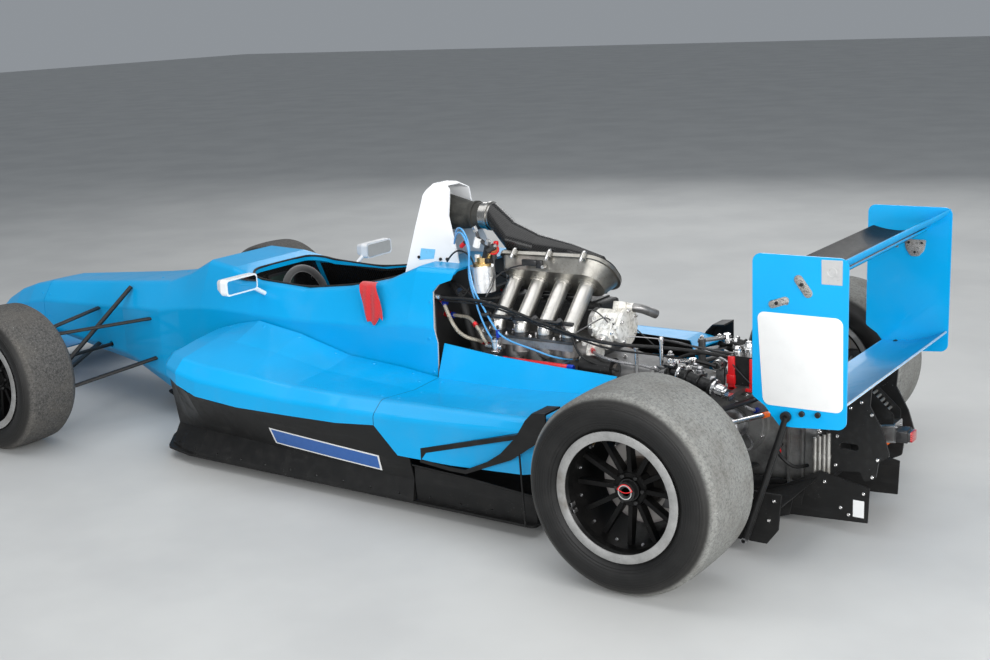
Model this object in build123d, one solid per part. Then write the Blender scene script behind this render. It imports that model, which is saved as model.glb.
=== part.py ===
from build123d import *
import math
import os

# An open wheel single-seat racing car standing on its four tyres, its engine cover off.
# Millimetres. +X points forward, +Y to the driver's left and +Z up.
# Pieces are drawn from the ground line under the rear axle, so X is the distance ahead of it.
# write() moves them so that the origin lies on the ground below the middle of the length.

# Overall sizes
OVERALL_LENGTH = 4270
WHEELBASE = 2700
REAR_OVERHANG = 520
FRONT_OVERHANG = OVERALL_LENGTH - WHEELBASE - REAR_OVERHANG
FRONT_TRACK = 1500
REAR_TRACK = 1440
RIDE_HEIGHT = 35

# Wheels
BEAD_RADIUS = 165
FLANGE_HEIGHT = 17.5
FLANGE_WIDTH = 8
FRONT_TYRE_RADIUS = 270
FRONT_TYRE_WIDTH = 235
FRONT_RIM_WIDTH = 203
REAR_TYRE_RADIUS = 285
REAR_TYRE_WIDTH = 290
REAR_RIM_WIDTH = 254
TREAD_DROP = 4
FRONT_HUB_FACE = 46
REAR_HUB_FACE = 60
SPOKES = 12
SPOKE_WIDTH = 13
BARREL_WALL = 6
HUB_FLANGE_DEPTH = 42

# Brakes and uprights
DISC_RADIUS = 118
DISC_THICKNESS = 12
FRONT_DISC_OFFSET = -24
REAR_DISC_OFFSET = -18
CALIPER_RADIUS = 143
STUB_RADIUS = 22
UPRIGHT_DEPTH = 50
UPRIGHT_HALF_HEIGHT = 106
BALL_JOINT_HEIGHT = 122
PIN_RADIUS = 8
EYE_RADIUS = 18
EYE_HEIGHT = 16
TIE_PIN_RADIUS = 4
RUNNING_CLEARANCE = 0.05
MOVING_CLEARANCE = 6

# Steering
KINGPIN_INSET = 80
STEERING_ARM = 100
RACK_HEIGHT = 250
TIE_ROD_RADIUS = 8
STEERING_WHEEL_STATION = 1840
STEERING_WHEEL_HEIGHT = 500
STEERING_WHEEL_RADIUS = 125
GRIP_RADIUS = 14
COLUMN_RADIUS = 11
DASH_BEHIND_MOUTH = 22

# Survival cell
TUB_REAR = 985
TUB_WALL = 16
BULKHEAD_DEPTH = 65
BULKHEAD = TUB_REAR + BULKHEAD_DEPTH
COCKPIT_REAR = 1265
WHEEL_TO_COCKPIT_FRONT = 112
COCKPIT_FRONT = STEERING_WHEEL_STATION + WHEEL_TO_COCKPIT_FRONT
COCKPIT_HALF_WIDTH = 205
COCKPIT_CORNER = 90
DECK_HEIGHT = 708
NOSE_GAP = 2

# Floor and bodywork
FLOOR_THICKNESS = 8
FLOOR_HALF_WIDTH = 620
FLOOR_FRONT = 2090
FLOOR_REAR = 415
SKIN = 5
POD_REAR = 330
POD_SEAM = 990
TRAY_TOP = RIDE_HEIGHT + FLOOR_THICKNESS

# Roll hoop
HOOP_TOP = 969
HOOP_WALL = 8

# Engine bay
ENGINE_REAR = 500
BELL_REAR = 300
GEARBOX_REAR = -262
BLOCK_TOP = 380
HEAD_TOP = 500
COVER_TOP = 590
SHELF_TOP = 490
RUNNER_RADIUS = 26
RUNNER_RING = 3
FIRST_RUNNER = 834
RUNNER_SPACING = 93
CYLINDERS = 4

# Inlet plenum, measured square to its own faces, which lean 45 degrees to the right
PLENUM_BASE = 435
PLENUM_FLANGE = 482
PLENUM_FLANGE_THICKNESS = 12
PLENUM_MIDDLE = 489
PLENUM_FRONT = 885
PLENUM_REAR = 462
DUCT_FRONT = 940

# Rear wing
WING_HALF_SPAN = 457
ENDPLATE_THICKNESS = 6
WING_REAR = -476
WING_FRONT = -210
WING_TOP = 886
SUPPORT_HALF_GAP = 112
SUPPORT_THICKNESS = 8

# Front wing
FRONT_WING_HALF_SPAN = 640
FRONT_ENDPLATE_THICKNESS = 6
PYLON_INNER = 48
PYLON_THICKNESS = 6

# Places where a trolley or a jack takes hold
REAR_BAR_RADIUS = 9
REAR_BAR_STATION = -408
REAR_BAR_HEIGHT = 222
FRONT_BAR_RADIUS = 8
STARTER_BORE_RADIUS = 10
STARTER_BORE_DEPTH = 30
STARTER_HEIGHT = 185

# Rear suspension's rockers, above the gearbox's front flange
ROCKER_STATION = 205

RUNNER_STATIONS = [FIRST_RUNNER - RUNNER_SPACING * i for i in range(CYLINDERS)]

drawn = {}
nodes = {}


def write(name, *shapes):
    """Keep the solids of one sub-part under its name, moved to the car's own frame."""
    solids = [solid for shape in shapes for solid in shape.solids()]
    drawn[name] = solids[0] if len(solids) == 1 else Compound(children=solids)
    home = Pos(REAR_OVERHANG - OVERALL_LENGTH / 2, 0, 0)
    moved = [home * solid for solid in solids]
    whole = moved[0] if len(moved) == 1 else Compound(children=moved)
    whole.label = name
    nodes[name] = whole


def opposite(shape):
    """The same piece on the other side of the car."""
    return mirror(shape, about=Plane.XZ)


def seated(piece, *carriers):
    """A piece cut off where it meets what carries it, keeping the part that stands outside."""
    for carrier in carriers:
        piece = piece - drawn[carrier]
    return max(piece.solids(), key=lambda solid: solid.volume)


def ahead(share):
    """A station at a share of the way from the front tyres' tread to the nose's tip."""
    return WHEELBASE + FRONT_TYRE_RADIUS + share * (FRONT_OVERHANG - FRONT_TYRE_RADIUS)


def outline_face(outline, corner=None):
    """A closed face from its corners, with one radius or a radius for each corner."""
    if corner:
        return make_face(FilletPolyline(*outline, radius=corner, close=True))
    return make_face(Polyline(*outline, close=True))


def across(station, outline, corner=None):
    """A closed face across the car at a station, from (y, z) corners."""
    plane = Plane((station, 0, 0), x_dir=(0, 1, 0), z_dir=(1, 0, 0))
    return plane * outline_face(outline, corner)


def upright_plate(outline, y_low, y_high, corner=None):
    """A plate standing along the car between two Y values, from (x, z) corners."""
    plane = Plane((0, y_low, 0), x_dir=(1, 0, 0), z_dir=(0, -1, 0))
    return extrude(plane * outline_face(outline, corner), -(y_high - y_low))


def flat_plate(outline, z_low, z_high, corner=None):
    """A flat plate between two heights, from (x, y) corners."""
    return extrude(Pos(0, 0, z_low) * outline_face(outline, corner), z_high - z_low)


def block(low, high):
    """A box from its lowest corner to its highest."""
    size = [b - a for a, b in zip(low, high)]
    return Pos(*low) * Box(*size, align=(Align.MIN, Align.MIN, Align.MIN))


def rod(start, end, radius):
    """A round bar from one point to another."""
    line = Vector(*end) - Vector(*start)
    return Plane(origin=start, z_dir=line) * Cylinder(
        radius, line.length, align=(Align.CENTER, Align.CENTER, Align.MIN)
    )


def strut(start, end, chord, thickness):
    """A streamlined bar from one point to another, its long axis lying fore and aft."""
    line = Vector(*end) - Vector(*start)
    fore = Vector(1, 0, 0)
    if abs(line.normalized().X) > 0.9:
        fore = Vector(0, 0, 1)
    fore = fore - line.normalized() * fore.dot(line.normalized())
    plane = Plane(origin=start, x_dir=fore, z_dir=line)
    return extrude(plane * Ellipse(chord / 2, thickness / 2), line.length)


def hose(points, radius):
    """A round hose or pipe along straight runs joined by tangent arcs."""
    runs = [(Vector(*b) - Vector(*a)) for a, b in zip(points, points[1:])]
    bends = []
    for before, after in zip(runs, runs[1:]):
        turn = math.radians(before.get_angle(after))
        shorter = min(before.length, after.length)
        bends.append(0.45 * shorter / math.tan(turn / 2))
    path = FilletPolyline(*points, radius=bends)
    start = Plane(origin=points[0], z_dir=runs[0])
    return sweep(start * Circle(radius), path=path)


def aerofoil(nose, tail, sag, thickness, tail_thickness=3):
    """A downforce section in (x, z), hollow above and full below, with a round nose."""
    chord = Vector(*tail) - Vector(*nose)
    along = chord.normalized()
    down = Vector(along.Y, -along.X)
    if down.Y > 0:
        down = down * -1
    nose_radius = thickness * 0.3
    centre = Vector(*nose) + along * nose_radius
    middle = Vector(*nose) + chord * 0.42 + down * sag
    top = [centre - down * nose_radius, middle - down * thickness / 2,
           Vector(*tail) - down * tail_thickness / 2]
    under = [Vector(*tail) + down * tail_thickness / 2, middle + down * thickness / 2,
             centre + down * nose_radius]
    edges = [ThreePointArc(*top), Line(top[-1], under[0]), ThreePointArc(*under),
             ThreePointArc(under[-1], Vector(*nose), top[0])]
    return make_face(Wire(edges))


def wing(section, half_span):
    """A wing element from its section, reaching both sides."""
    plane = Plane((0, 0, 0), x_dir=(1, 0, 0), z_dir=(0, -1, 0))
    return extrude(plane * section, half_span, both=True)


def turned(outline, corner=None):
    """A ring turned about the Y axis, from (y, radius) corners."""
    return revolve(Plane.YZ * outline_face(outline, corner), Axis.Y)


# Wheels and tyres, drawn about their own centre with the outer side at +Y

def tyre(radius, width, rim_width):
    """A slick tyre with bulging walls and round shoulders."""
    seat = rim_width / 2
    edge = BEAD_RADIUS + FLANGE_HEIGHT
    shoulder = (width / 2 - 16, radius - TREAD_DROP - 12)
    tread = (width / 2 - 34, radius - TREAD_DROP)
    flipped = [(-y, r) for y, r in (shoulder, tread)]
    wall = (width / 2, (edge + radius) / 2 - 4)
    with BuildLine() as line:
        Line((seat, edge), (seat, BEAD_RADIUS))
        Line((seat, BEAD_RADIUS), (-seat, BEAD_RADIUS))
        Line((-seat, BEAD_RADIUS), (-seat, edge))
        ThreePointArc((-seat, edge), (-wall[0], wall[1]), flipped[0])
        Line(flipped[0], flipped[1])
        ThreePointArc(flipped[1], (0, radius), tread)
        Line(tread, shoulder)
        ThreePointArc(shoulder, wall, (seat, edge))
    return revolve(Plane.YZ * make_face(line.line), Axis.Y)


def rim(rim_width, face_y):
    """A spoked rim: a barrel with a deep machined lip, thin spokes, a hub and its nut."""
    seat = rim_width / 2
    edge = seat + FLANGE_WIDTH
    flange = BEAD_RADIUS + FLANGE_HEIGHT
    inner = BEAD_RADIUS - BARREL_WALL
    barrel = turned([
        (edge, flange), (seat, flange), (seat, BEAD_RADIUS), (-seat, BEAD_RADIUS),
        (-seat, flange), (-edge, flange), (-edge, inner), (seat - 30, inner - 4),
        (seat - 14, inner), (edge, flange - 8),
    ])
    back = face_y - HUB_FLANGE_DEPTH
    hub = turned([
        (back, STUB_RADIUS), (back, 52), (face_y - 6, 50), (face_y - 2, 46), (face_y - 2, 34),
        (face_y - 8, 31), (face_y - 8, 26), (face_y + 10, 24), (face_y + 18, 20), (face_y + 18, 12),
        (face_y - 20, 12), (face_y - 20, STUB_RADIUS),
    ])
    side = [(face_y - 34, 44), (face_y - 4, 44), (face_y + 6, inner + 2), (face_y - 14, inner + 2)]
    spoke = extrude(Plane.YZ * outline_face(side), SPOKE_WIDTH / 2, both=True)
    spokes = [Rot(0, 360 / SPOKES * i, 0) * spoke for i in range(SPOKES)]
    return (barrel + hub + spokes).clean()


def brake_disc(y_mid, hub_y):
    """A plain disc on a bell that carries it to the wheel's hub."""
    low = y_mid - DISC_THICKNESS / 2
    high = y_mid + DISC_THICKNESS / 2
    return turned([
        (low, 66), (low, DISC_RADIUS), (high, DISC_RADIUS), (high, 66), (hub_y, 52),
        (hub_y, STUB_RADIUS), (hub_y - 6, STUB_RADIUS), (hub_y - 6, 46), (low + 2, 60),
    ])


def at_wheel(shape, station, half_track, height, side):
    """A left-hand wheel piece at its corner, mirrored for the right-hand side."""
    placed = Pos(station, half_track, height) * shape
    return placed if side == "left" else opposite(placed)


def wheels():
    """Four tyres and four rims with their discs."""
    corners = [
        # end, station, half track, tyre radius, tyre width, rim width, hub face, disc, gap inboard
        ("front", WHEELBASE, FRONT_TRACK / 2, FRONT_TYRE_RADIUS, FRONT_TYRE_WIDTH,
         FRONT_RIM_WIDTH, FRONT_HUB_FACE, FRONT_DISC_OFFSET, 0),
        ("rear", 0, REAR_TRACK / 2, REAR_TYRE_RADIUS, REAR_TYRE_WIDTH,
         REAR_RIM_WIDTH, REAR_HUB_FACE, REAR_DISC_OFFSET, MOVING_CLEARANCE),
    ]
    for end, station, half_track, radius, width, rim_width, face_y, disc_y, gap in corners:
        rubber = tyre(radius, width, rim_width)
        metal = rim(rim_width, face_y)
        stub_end = KINGPIN_INSET + UPRIGHT_DEPTH / 2 + gap
        stub = rod((0, face_y - 20, 0), (0, -stub_end, 0), STUB_RADIUS)
        disc = brake_disc(disc_y, face_y - HUB_FLANGE_DEPTH) + stub
        for side in ("left", "right"):
            write(f"tyre_{end}_{side}", at_wheel(rubber, station, half_track, radius, side))
            write(f"rim_{end}_{side}", at_wheel(metal, station, half_track, radius, side))
            write(f"disc_{end}_{side}", at_wheel(disc, station, half_track, radius, side))


# Survival cell and nose

NOSE_JOINT = ahead(0.36)
TUB_SECTIONS = [
    # station, bottom z, bottom half, low z, low half, high z, high half, top z, top half
    (TUB_REAR - 30, 43, 200, 150, 282, 520, 288, DECK_HEIGHT, 205),
    (COCKPIT_REAR - 145, 43, 202, 150, 285, 520, 292, DECK_HEIGHT, 215),
    (COCKPIT_REAR - 15, 43, 205, 150, 288, 505, 296, 652, 228),
    (COCKPIT_REAR + 155, 43, 205, 150, 288, 500, 298, 618, 232),
    (STEERING_WHEEL_STATION - 220, 43, 205, 150, 288, 490, 296, 594, 235),
    (STEERING_WHEEL_STATION + 20, 43, 203, 150, 286, 490, 288, 604, 230),
    (COCKPIT_FRONT + 58, 46, 198, 150, 276, 490, 276, 640, 205),
    (COCKPIT_FRONT + 208, 50, 190, 150, 262, 480, 262, 652, 176),
    (COCKPIT_FRONT + 338, 60, 180, 160, 250, 465, 250, 590, 168),
    (COCKPIT_FRONT + 468, 80, 168, 175, 236, 445, 236, 548, 158),
    (WHEELBASE, 165, 120, 220, 182, 420, 182, 518, 118),
    (NOSE_JOINT, 240, 95, 280, 150, 395, 150, 472, 95),
]
TUB_CORNER = 28
TUB_REAR_EDGE = [
    # ahead of the cell's rear, height
    (-25, 1000), (-25, 719), (-9, 673), (37, 656), (56, 631), (31, 542), (12, 469), (17, 335), (0, 180),
]


def tub_section(row, inset, shift=0):
    """One round-cornered section of the cell, drawn in by a wall."""
    station, z0, y0, z1, y1, z2, y2, z3, y3 = row
    right = [(y0 - inset * 0.6, z0 + inset), (y1 - inset, z1 + inset * 0.4),
             (y2 - inset, z2 - inset * 0.3), (y3 - inset * 0.6, z3 - inset)]
    left = [(-y, z) for y, z in reversed(right)]
    return across(station + shift, right + left, corner=TUB_CORNER)


def cell_row(station):
    """The cell's section sizes at any station, between two rows of the table."""
    for before, after in zip(TUB_SECTIONS, TUB_SECTIONS[1:]):
        if before[0] <= station <= after[0]:
            share = (station - before[0]) / (after[0] - before[0])
            return tuple(a + (b - a) * share for a, b in zip(before, after))
    return TUB_SECTIONS[-1]


def tub():
    """The cell: a hollow shell with the cockpit open above and its rear edge cut to shape."""
    shell = loft([tub_section(row, 0) for row in TUB_SECTIONS], ruled=True)
    seat_back = tub_section(cell_row(COCKPIT_REAR + 30), TUB_WALL)
    rows = [row for row in TUB_SECTIONS[3:-1]]
    front = tub_section(TUB_SECTIONS[-1], TUB_WALL, -TUB_WALL)
    cavity = loft([seat_back] + [tub_section(row, TUB_WALL) for row in rows] + [front], ruled=True)
    mouth = Pos((COCKPIT_REAR + COCKPIT_FRONT) / 2, 0, 480) * extrude(
        RectangleRounded(COCKPIT_FRONT - COCKPIT_REAR, 2 * COCKPIT_HALF_WIDTH, COCKPIT_CORNER), 300)
    edge = [(TUB_REAR + x, z) for x, z in TUB_REAR_EDGE]
    tail = upright_plate(edge + [(TUB_REAR, 0), (TUB_REAR - 200, 0), (TUB_REAR - 200, 1000)],
                         -400, 400)
    pocket = extrude(tub_section(cell_row(TUB_REAR), SKIN + 4, -100), BULKHEAD_DEPTH + 100)
    tie_rod_hole = Pos(WHEELBASE + STEERING_ARM, 0, RACK_HEIGHT) * Rot(90, 0, 0) * Cylinder(
        TIE_ROD_RADIUS + MOVING_CLEARANCE, 600)
    return shell - cavity - mouth - tail - pocket - tie_rod_hole


NOSE_TIP = ahead(1) - 12
NOSE_SECTIONS = [
    # share of the way to the tip, bottom z, bottom half, low z, low half, high z, high half, top z, top half
    (0, 240, 95, 280, 150, 395, 150, 472, 95),
    (0.25, 236, 88, 272, 140, 374, 140, 448, 86),
    (0.5, 230, 76, 262, 122, 346, 122, 412, 74),
    (0.75, 224, 58, 250, 96, 310, 96, 358, 56),
    (0.92, 220, 38, 238, 66, 280, 66, 308, 38),
    (1, 224, 22, 236, 44, 264, 44, 280, 22),
]
NOSE_CORNERS = (28, 26, 24, 20, 13, 9)


def nose_cone():
    """The nose beyond the cell's front face, round at its tip."""
    faces = []
    for (share, *sizes), corner in zip(NOSE_SECTIONS, NOSE_CORNERS):
        station = NOSE_JOINT + NOSE_GAP + (NOSE_TIP - NOSE_JOINT - NOSE_GAP) * share
        right = list(zip(sizes[1::2], sizes[0::2]))
        left = [(-y, z) for y, z in reversed(right)]
        faces.append(across(station, right + left, corner=corner))
    body = loft(faces, ruled=True)
    _, low, _, _, half, _, _, high, _ = NOSE_SECTIONS[-1]
    tip = Pos(NOSE_TIP, 0, (low + high) / 2) * scale(Sphere(1), by=(12, half, (high - low) / 2))
    return body + (tip & block((NOSE_TIP, -100, 0), (NOSE_TIP + 100, 100, 600)))


# Front wing

FRONT_ELEMENTS = [
    # node, nose share, nose z, tail share, tail z, sag, thickness
    ("main", 0.93, 105, 0.55, 120, 15, 24),
    ("flap", 0.57, 134, 0.42, 178, 9, 13),
    ("flap", 0.43, 190, 0.33, 240, 7, 11),
]


def front_wing():
    """Main plane, two pairs of flaps, end plates and the pylons that hang it from the nose."""
    inner = FRONT_WING_HALF_SPAN - FRONT_ENDPLATE_THICKNESS
    elements = {"main": [], "flap": []}
    for name, nose, nose_z, tail, tail_z, sag, thickness in FRONT_ELEMENTS:
        section = aerofoil((ahead(nose), nose_z), (ahead(tail), tail_z), sag, thickness)
        elements[name].append(wing(section, inner))
    main = elements["main"][0]
    root = NOSE_SECTIONS[1][6] + 22
    flaps = [flap - block((0, -root, 0), (ahead(2), root, 600)) for flap in elements["flap"]]
    end = upright_plate([
        (ahead(0.95), 62), (ahead(0.985), 130), (ahead(0.9), 205), (ahead(0.62), 262),
        (ahead(0.31), 268), (ahead(0.29), 62),
    ], inner, FRONT_WING_HALF_SPAN, corner=16)
    foot = flat_plate([
        (ahead(0.9), inner - 34), (ahead(0.96), inner), (ahead(0.29), inner), (ahead(0.29), inner - 34),
    ], 62, 66)
    vane = upright_plate([
        (ahead(0.55), 128), (ahead(0.52), 205), (ahead(0.36), 250), (ahead(0.31), 236),
        (ahead(0.4), 160),
    ], root, root + 4, corner=10)
    flap_set = flaps[0] + flaps[1] + vane + opposite(vane)
    write("front_wing_main", main)
    write("front_wing_flaps", *[solid - main for solid in flap_set.solids()])
    write("front_wing_endplates", end + foot, opposite(end + foot))
    pylon = upright_plate([
        (ahead(0.8), 111), (ahead(0.76), 300), (ahead(0.58), 300), (ahead(0.62), 105),
    ], PYLON_INNER, PYLON_INNER + PYLON_THICKNESS)
    pylon = seated(pylon, "front_wing_main", "nose_cone")
    bar = Pos(ahead(0.7), 0, 176) * Rot(90, 0, 0) * Cylinder(FRONT_BAR_RADIUS, 2 * PYLON_INNER)
    write("front_wing_pylons", pylon + opposite(pylon) + bar)


# Floor and side bodywork

def floor():
    """The flat floor between the wheels, running out to the pods' lower edges."""
    left = [(NOSE_JOINT - 640, 60), (FLOOR_FRONT + 150, 235), (FLOOR_FRONT + 30, 480),
            (FLOOR_FRONT - 60, 590), (FLOOR_FRONT - 200, FLOOR_HALF_WIDTH),
            (FLOOR_REAR, FLOOR_HALF_WIDTH), (FLOOR_REAR, 400), (150, 400)]
    right = [(x, -y) for x, y in reversed(left)]
    radii = (10, 60, 60, 60, 60, 20, 15, 2)
    return flat_plate(left + right, RIDE_HEIGHT, TRAY_TOP, corner=list(radii + radii[::-1]))


SIDE_TRAY = [
    # station, lip y, waist y, waist z, top y, top z
    (2040, 556, 515, 112, 548, 330),
    (1950, 596, 536, 116, 604, 306),
    (1850, 618, 556, 120, 640, 282),
    (1693, 620, 568, 122, 647, 266),
    (1580, 620, 576, 122, 648, 263),
    (1395, 620, 590, 118, 649, 266),
    (1184, 620, 600, 115, 649, 271),
    (985, 620, 606, 110, 648, 286),
]
TRAY_END = [(985, 286), (920, 276), (888, 250), (874, 205), (872, TRAY_TOP), (985, TRAY_TOP)]
REAR_TRAY = [
    # station, foot y, wall y, lip y, lip z
    (866, 604, 610, 622, 168),
    (640, 604, 610, 624, 160),
    (FLOOR_REAR + 4, 598, 602, 614, 138),
]


def side_trays():
    """The black lower side: a cove up to the blue skin, and a low wall with a lip behind it."""
    faces = []
    for station, lip, waist, waist_z, top, top_z in SIDE_TRAY:
        faces.append(across(station, [
            (lip, TRAY_TOP), (lip - 2, TRAY_TOP + 10), (waist, waist_z), (top, top_z),
            (top - SKIN, top_z), (waist - SKIN, waist_z), (lip - 20, TRAY_TOP + 10),
            (lip - 20, TRAY_TOP),
        ]))
    cove = loft(faces, ruled=True)
    lip, waist, waist_z, top = SIDE_TRAY[-1][1:5]
    end = upright_plate(TRAY_END, waist - SKIN, top, corner=[2, 30, 30, 30, 2, 2])
    profile = extrude(across(TRAY_END[4][0] - 20, [
        (lip, TRAY_TOP), (lip - 2, TRAY_TOP + 10), (waist, waist_z), (top, SIDE_TRAY[-1][5]),
        (top - SKIN, SIDE_TRAY[-1][5]), (waist - SKIN, waist_z), (lip - 20, TRAY_TOP + 10),
        (lip - 20, TRAY_TOP),
    ]), SIDE_TRAY[-1][0] - TRAY_END[4][0] + 20)
    behind = loft([across(station, [
        (foot, TRAY_TOP), (wall, TRAY_TOP + 60), (wall, lip_z - 12), (lip_y, lip_z - 4), (lip_y, lip_z),
        (wall - 4, lip_z - 6), (wall - 5, TRAY_TOP + 60), (foot - 6, TRAY_TOP),
    ]) for station, foot, wall, lip_y, lip_z in REAR_TRAY], ruled=True)
    return cove + (profile & end), behind


POD_FRONT = [
    # station, inner y, inner z, middle y, middle z, shoulder y, shoulder z, side y, side z, low z
    (2050, 335, 386, 430, 384, 505, 378, 545, 350, 330),
    (2000, 318, 428, 430, 412, 548, 388, 590, 352, 318),
    (1900, 303, 455, 430, 424, 596, 390, 638, 350, 304),
    (1800, 302, 474, 430, 422, 600, 380, 647, 335, 276),
    (1600, 302, 446, 430, 404, 602, 368, 650, 325, 264),
    (1374, 300, 390, 430, 366, 602, 357, 650, 318, 267),
    (1150, 298, 374, 430, 352, 602, 356, 650, 318, 272),
    (POD_SEAM, 296, 354, 430, 346, 602, 359, 650, 320, 287),
]
POD_BACK = [
    # station, inner y, inner z, middle y, middle z, shoulder y, shoulder z, side y, side z, low z
    (POD_SEAM, 296, 354, 430, 346, 602, 359, 650, 320, 287),
    (900, 296, 352, 430, 346, 602, 363, 649, 322, 200),
    (700, 296, 354, 430, 350, 602, 367, 640, 326, 196),
    (450, 296, 366, 430, 366, 590, 369, 618, 332, 200),
    (POD_REAR, 296, 382, 400, 380, 515, 372, 545, 342, 205),
]
POD_CORNERS = (60, 34, 24)
COVER_TOP_EDGE = [
    # station, height, y
    (POD_SEAM, 462, 250),
    (769, 441, 250),
    (539, 431, 250),
    (POD_REAR, 425, 250),
]


def pod_face(row, inset=0):
    """A pod's section from its inner edge over the shoulder and down the side."""
    station, yi, zi, ym, zm, ys, zs, yo, zo, low = row
    open_by = 200 if inset else 0
    over = [(ym, zm - inset), (ys - inset * 0.6, zs - inset), (yo - inset, zo - inset * 0.4)]
    face = outline_face([(yi - open_by, zi - inset)] + over
                        + [(yo - inset, low - open_by), (yi - open_by, low - open_by)])
    for point, radius in zip(over, POD_CORNERS):
        face = fillet(face.vertices().sort_by_distance((*point, 0))[0], radius)
    return Plane((station, 0, 0), x_dir=(0, 1, 0), z_dir=(1, 0, 0)) * face


def sidepod():
    """The left pod's skin, open in front for air, behind and below."""
    shapes = []
    for table in (POD_FRONT, POD_BACK):
        outer = loft([pod_face(row) for row in table], ruled=True)
        first = (table[0][0] + 10,) + table[0][1:]
        last = (table[-1][0] - 10,) + table[-1][1:]
        inner = loft([pod_face(row, SKIN) for row in [first] + table[1:-1] + [last]], ruled=True)
        shapes.append(outer - inner)
    cover = loft([
        across(station, [(POD_FRONT[-1][1], 352), (POD_FRONT[-1][1] + SKIN + 1, 352),
                         (y + SKIN + 1, top), (y, top)])
        for station, top, y in COVER_TOP_EDGE
    ], ruled=True)
    return shapes[0] + shapes[1] + cover


FIN_TOP_EDGE = [
    # ahead of the rear axle, height
    (814, 201), (704, 192), (643, 192), (560, 231), (509, 266), (453, 324), (418, 380), (393, 406),
]
FIN_LOW_EDGE = [
    # ahead of the rear axle, height
    (815, 190), (704, 180), (640, 180), (531, 226), (473, 250), (447, 268), (390, 308), (348, 342),
]


def flip_up():
    """The upswept fin ahead of a rear wheel with its plate along the pod, ramp and wire stays."""
    fin = upright_plate(FIN_TOP_EDGE + [(348, 410)] + FIN_LOW_EDGE[::-1], 638, 645)
    shelf = upright_plate([(812, 196), (812, 236), (450, 332), (450, 318), (790, 224)], 600, 645)
    ramp = upright_plate([(509, 261), (453, 318), (418, 374), (393, 400), (348, 404), (348, 410),
                          (393, 406), (418, 380), (453, 324), (509, 266)], 560, 640)
    stay = rod((436, 636, TRAY_TOP), (446, 640, 290), 3)
    return fin + shelf + ramp + stay


# Roll hoop and intake

def roll_hoop():
    """The white cover over the roll hoop, with the intake in front and no wall behind."""
    outer = upright_plate([
        (1262, 600), (1219, 817), (1196, 930), (1165, HOOP_TOP), (1122, HOOP_TOP), (1083, 948),
        (1080, 862), (1048, 781), (998, 640), (998, 600),
    ], -140, 140, corner=[1, 30, 24, 14, 14, 12, 20, 20, 4, 1])
    arch = extrude(across(900, [
        (118, 580), (118, 660), (87, 820), (68, 905), (60, 946), (36, HOOP_TOP),
        (-36, HOOP_TOP), (-60, 946), (-68, 905), (-87, 820), (-118, 660), (-118, 580),
    ], corner=[1, 20, 30, 20, 12, 14, 14, 12, 20, 30, 20, 1]), 500)
    inner = upright_plate([
        (1262 - HOOP_WALL, 500), (1219 - HOOP_WALL, 817), (1196 - HOOP_WALL, 930),
        (1165 - HOOP_WALL / 2, HOOP_TOP - HOOP_WALL), (800, HOOP_TOP - HOOP_WALL), (800, 500),
    ], -140, 140)
    hollow = extrude(across(900, [
        (112, 500), (112, 660), (80, 820), (61, 905), (54, 946), (34, HOOP_TOP - HOOP_WALL),
        (-34, HOOP_TOP - HOOP_WALL), (-54, 946), (-61, 905), (-80, 820), (-112, 660), (-112, 500),
    ]), 500)
    mouth = Pos(1150, 0, 868) * Rot(0, 90, 0) * extrude(RectangleRounded(134, 100, 40), 200)
    cover = (outer & arch) - (inner & hollow) - mouth - drawn["tub"]
    return max(cover.solids(), key=lambda solid: solid.volume)


def intake():
    """The funnel and its hose behind the hoop, and the duct that spreads over the plenum."""
    square = [(46, 904), (46, 812), (-46, 812), (-46, 904)]
    front = [(56, 940), (56, 796), (-56, 796), (-56, 940)]
    funnel = loft([across(1030, square, 45), across(1206, front, 44)], ruled=True)
    neck = rod((DUCT_FRONT, 0, 858), (1031, 0, 858), 46)
    bands = rod((948, 0, 858), (958, 0, 858), 50) + rod((1008, 0, 858), (1018, 0, 858), 50)
    inside = loft([across(1029, [(y * 0.87, 858 + (z - 858) * 0.87) for y, z in square], 38),
                   across(1207, [(y * 0.9, 868 + (z - 868) * 0.93) for y, z in front], 38)], ruled=True)
    bore = rod((DUCT_FRONT - 1, 0, 858), (1031, 0, 858), 40)
    funnel = (funnel + neck + bands) - inside - bore
    write("intake_filter", seated(funnel, "roll_hoop_cover"))


def leaning(distance):
    """The plane of the plenum's faces at a distance from the car's middle."""
    tilt = math.sqrt(0.5)
    return Plane((0, -distance * tilt, distance * tilt), x_dir=(1, 0, 0), z_dir=(0, -tilt, tilt))


def leaning_outline(front, rear, half_front, half_rear):
    """A D-shaped outline on the plenum's plane, narrower in front and round behind."""
    return [(front, PLENUM_MIDDLE - half_front), (front, PLENUM_MIDDLE + half_front),
            (rear, PLENUM_MIDDLE + half_rear), (rear, PLENUM_MIDDLE - half_rear)]


def leaning_section(station, low, high, base, top, corner):
    """A rounded section across the duct in the plenum's leaning directions."""
    tilt = math.sqrt(0.5)
    plane = Plane((station, 0, 0), x_dir=(0, tilt, tilt), z_dir=(1, 0, 0))
    return plane * outline_face([(low, base), (high, base), (high, top), (low, top)], corner)


PLENUM_LUGS = [(822, 1), (682, 1), (548, 1), (822, -1), (682, -1), (548, -1)]


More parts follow.
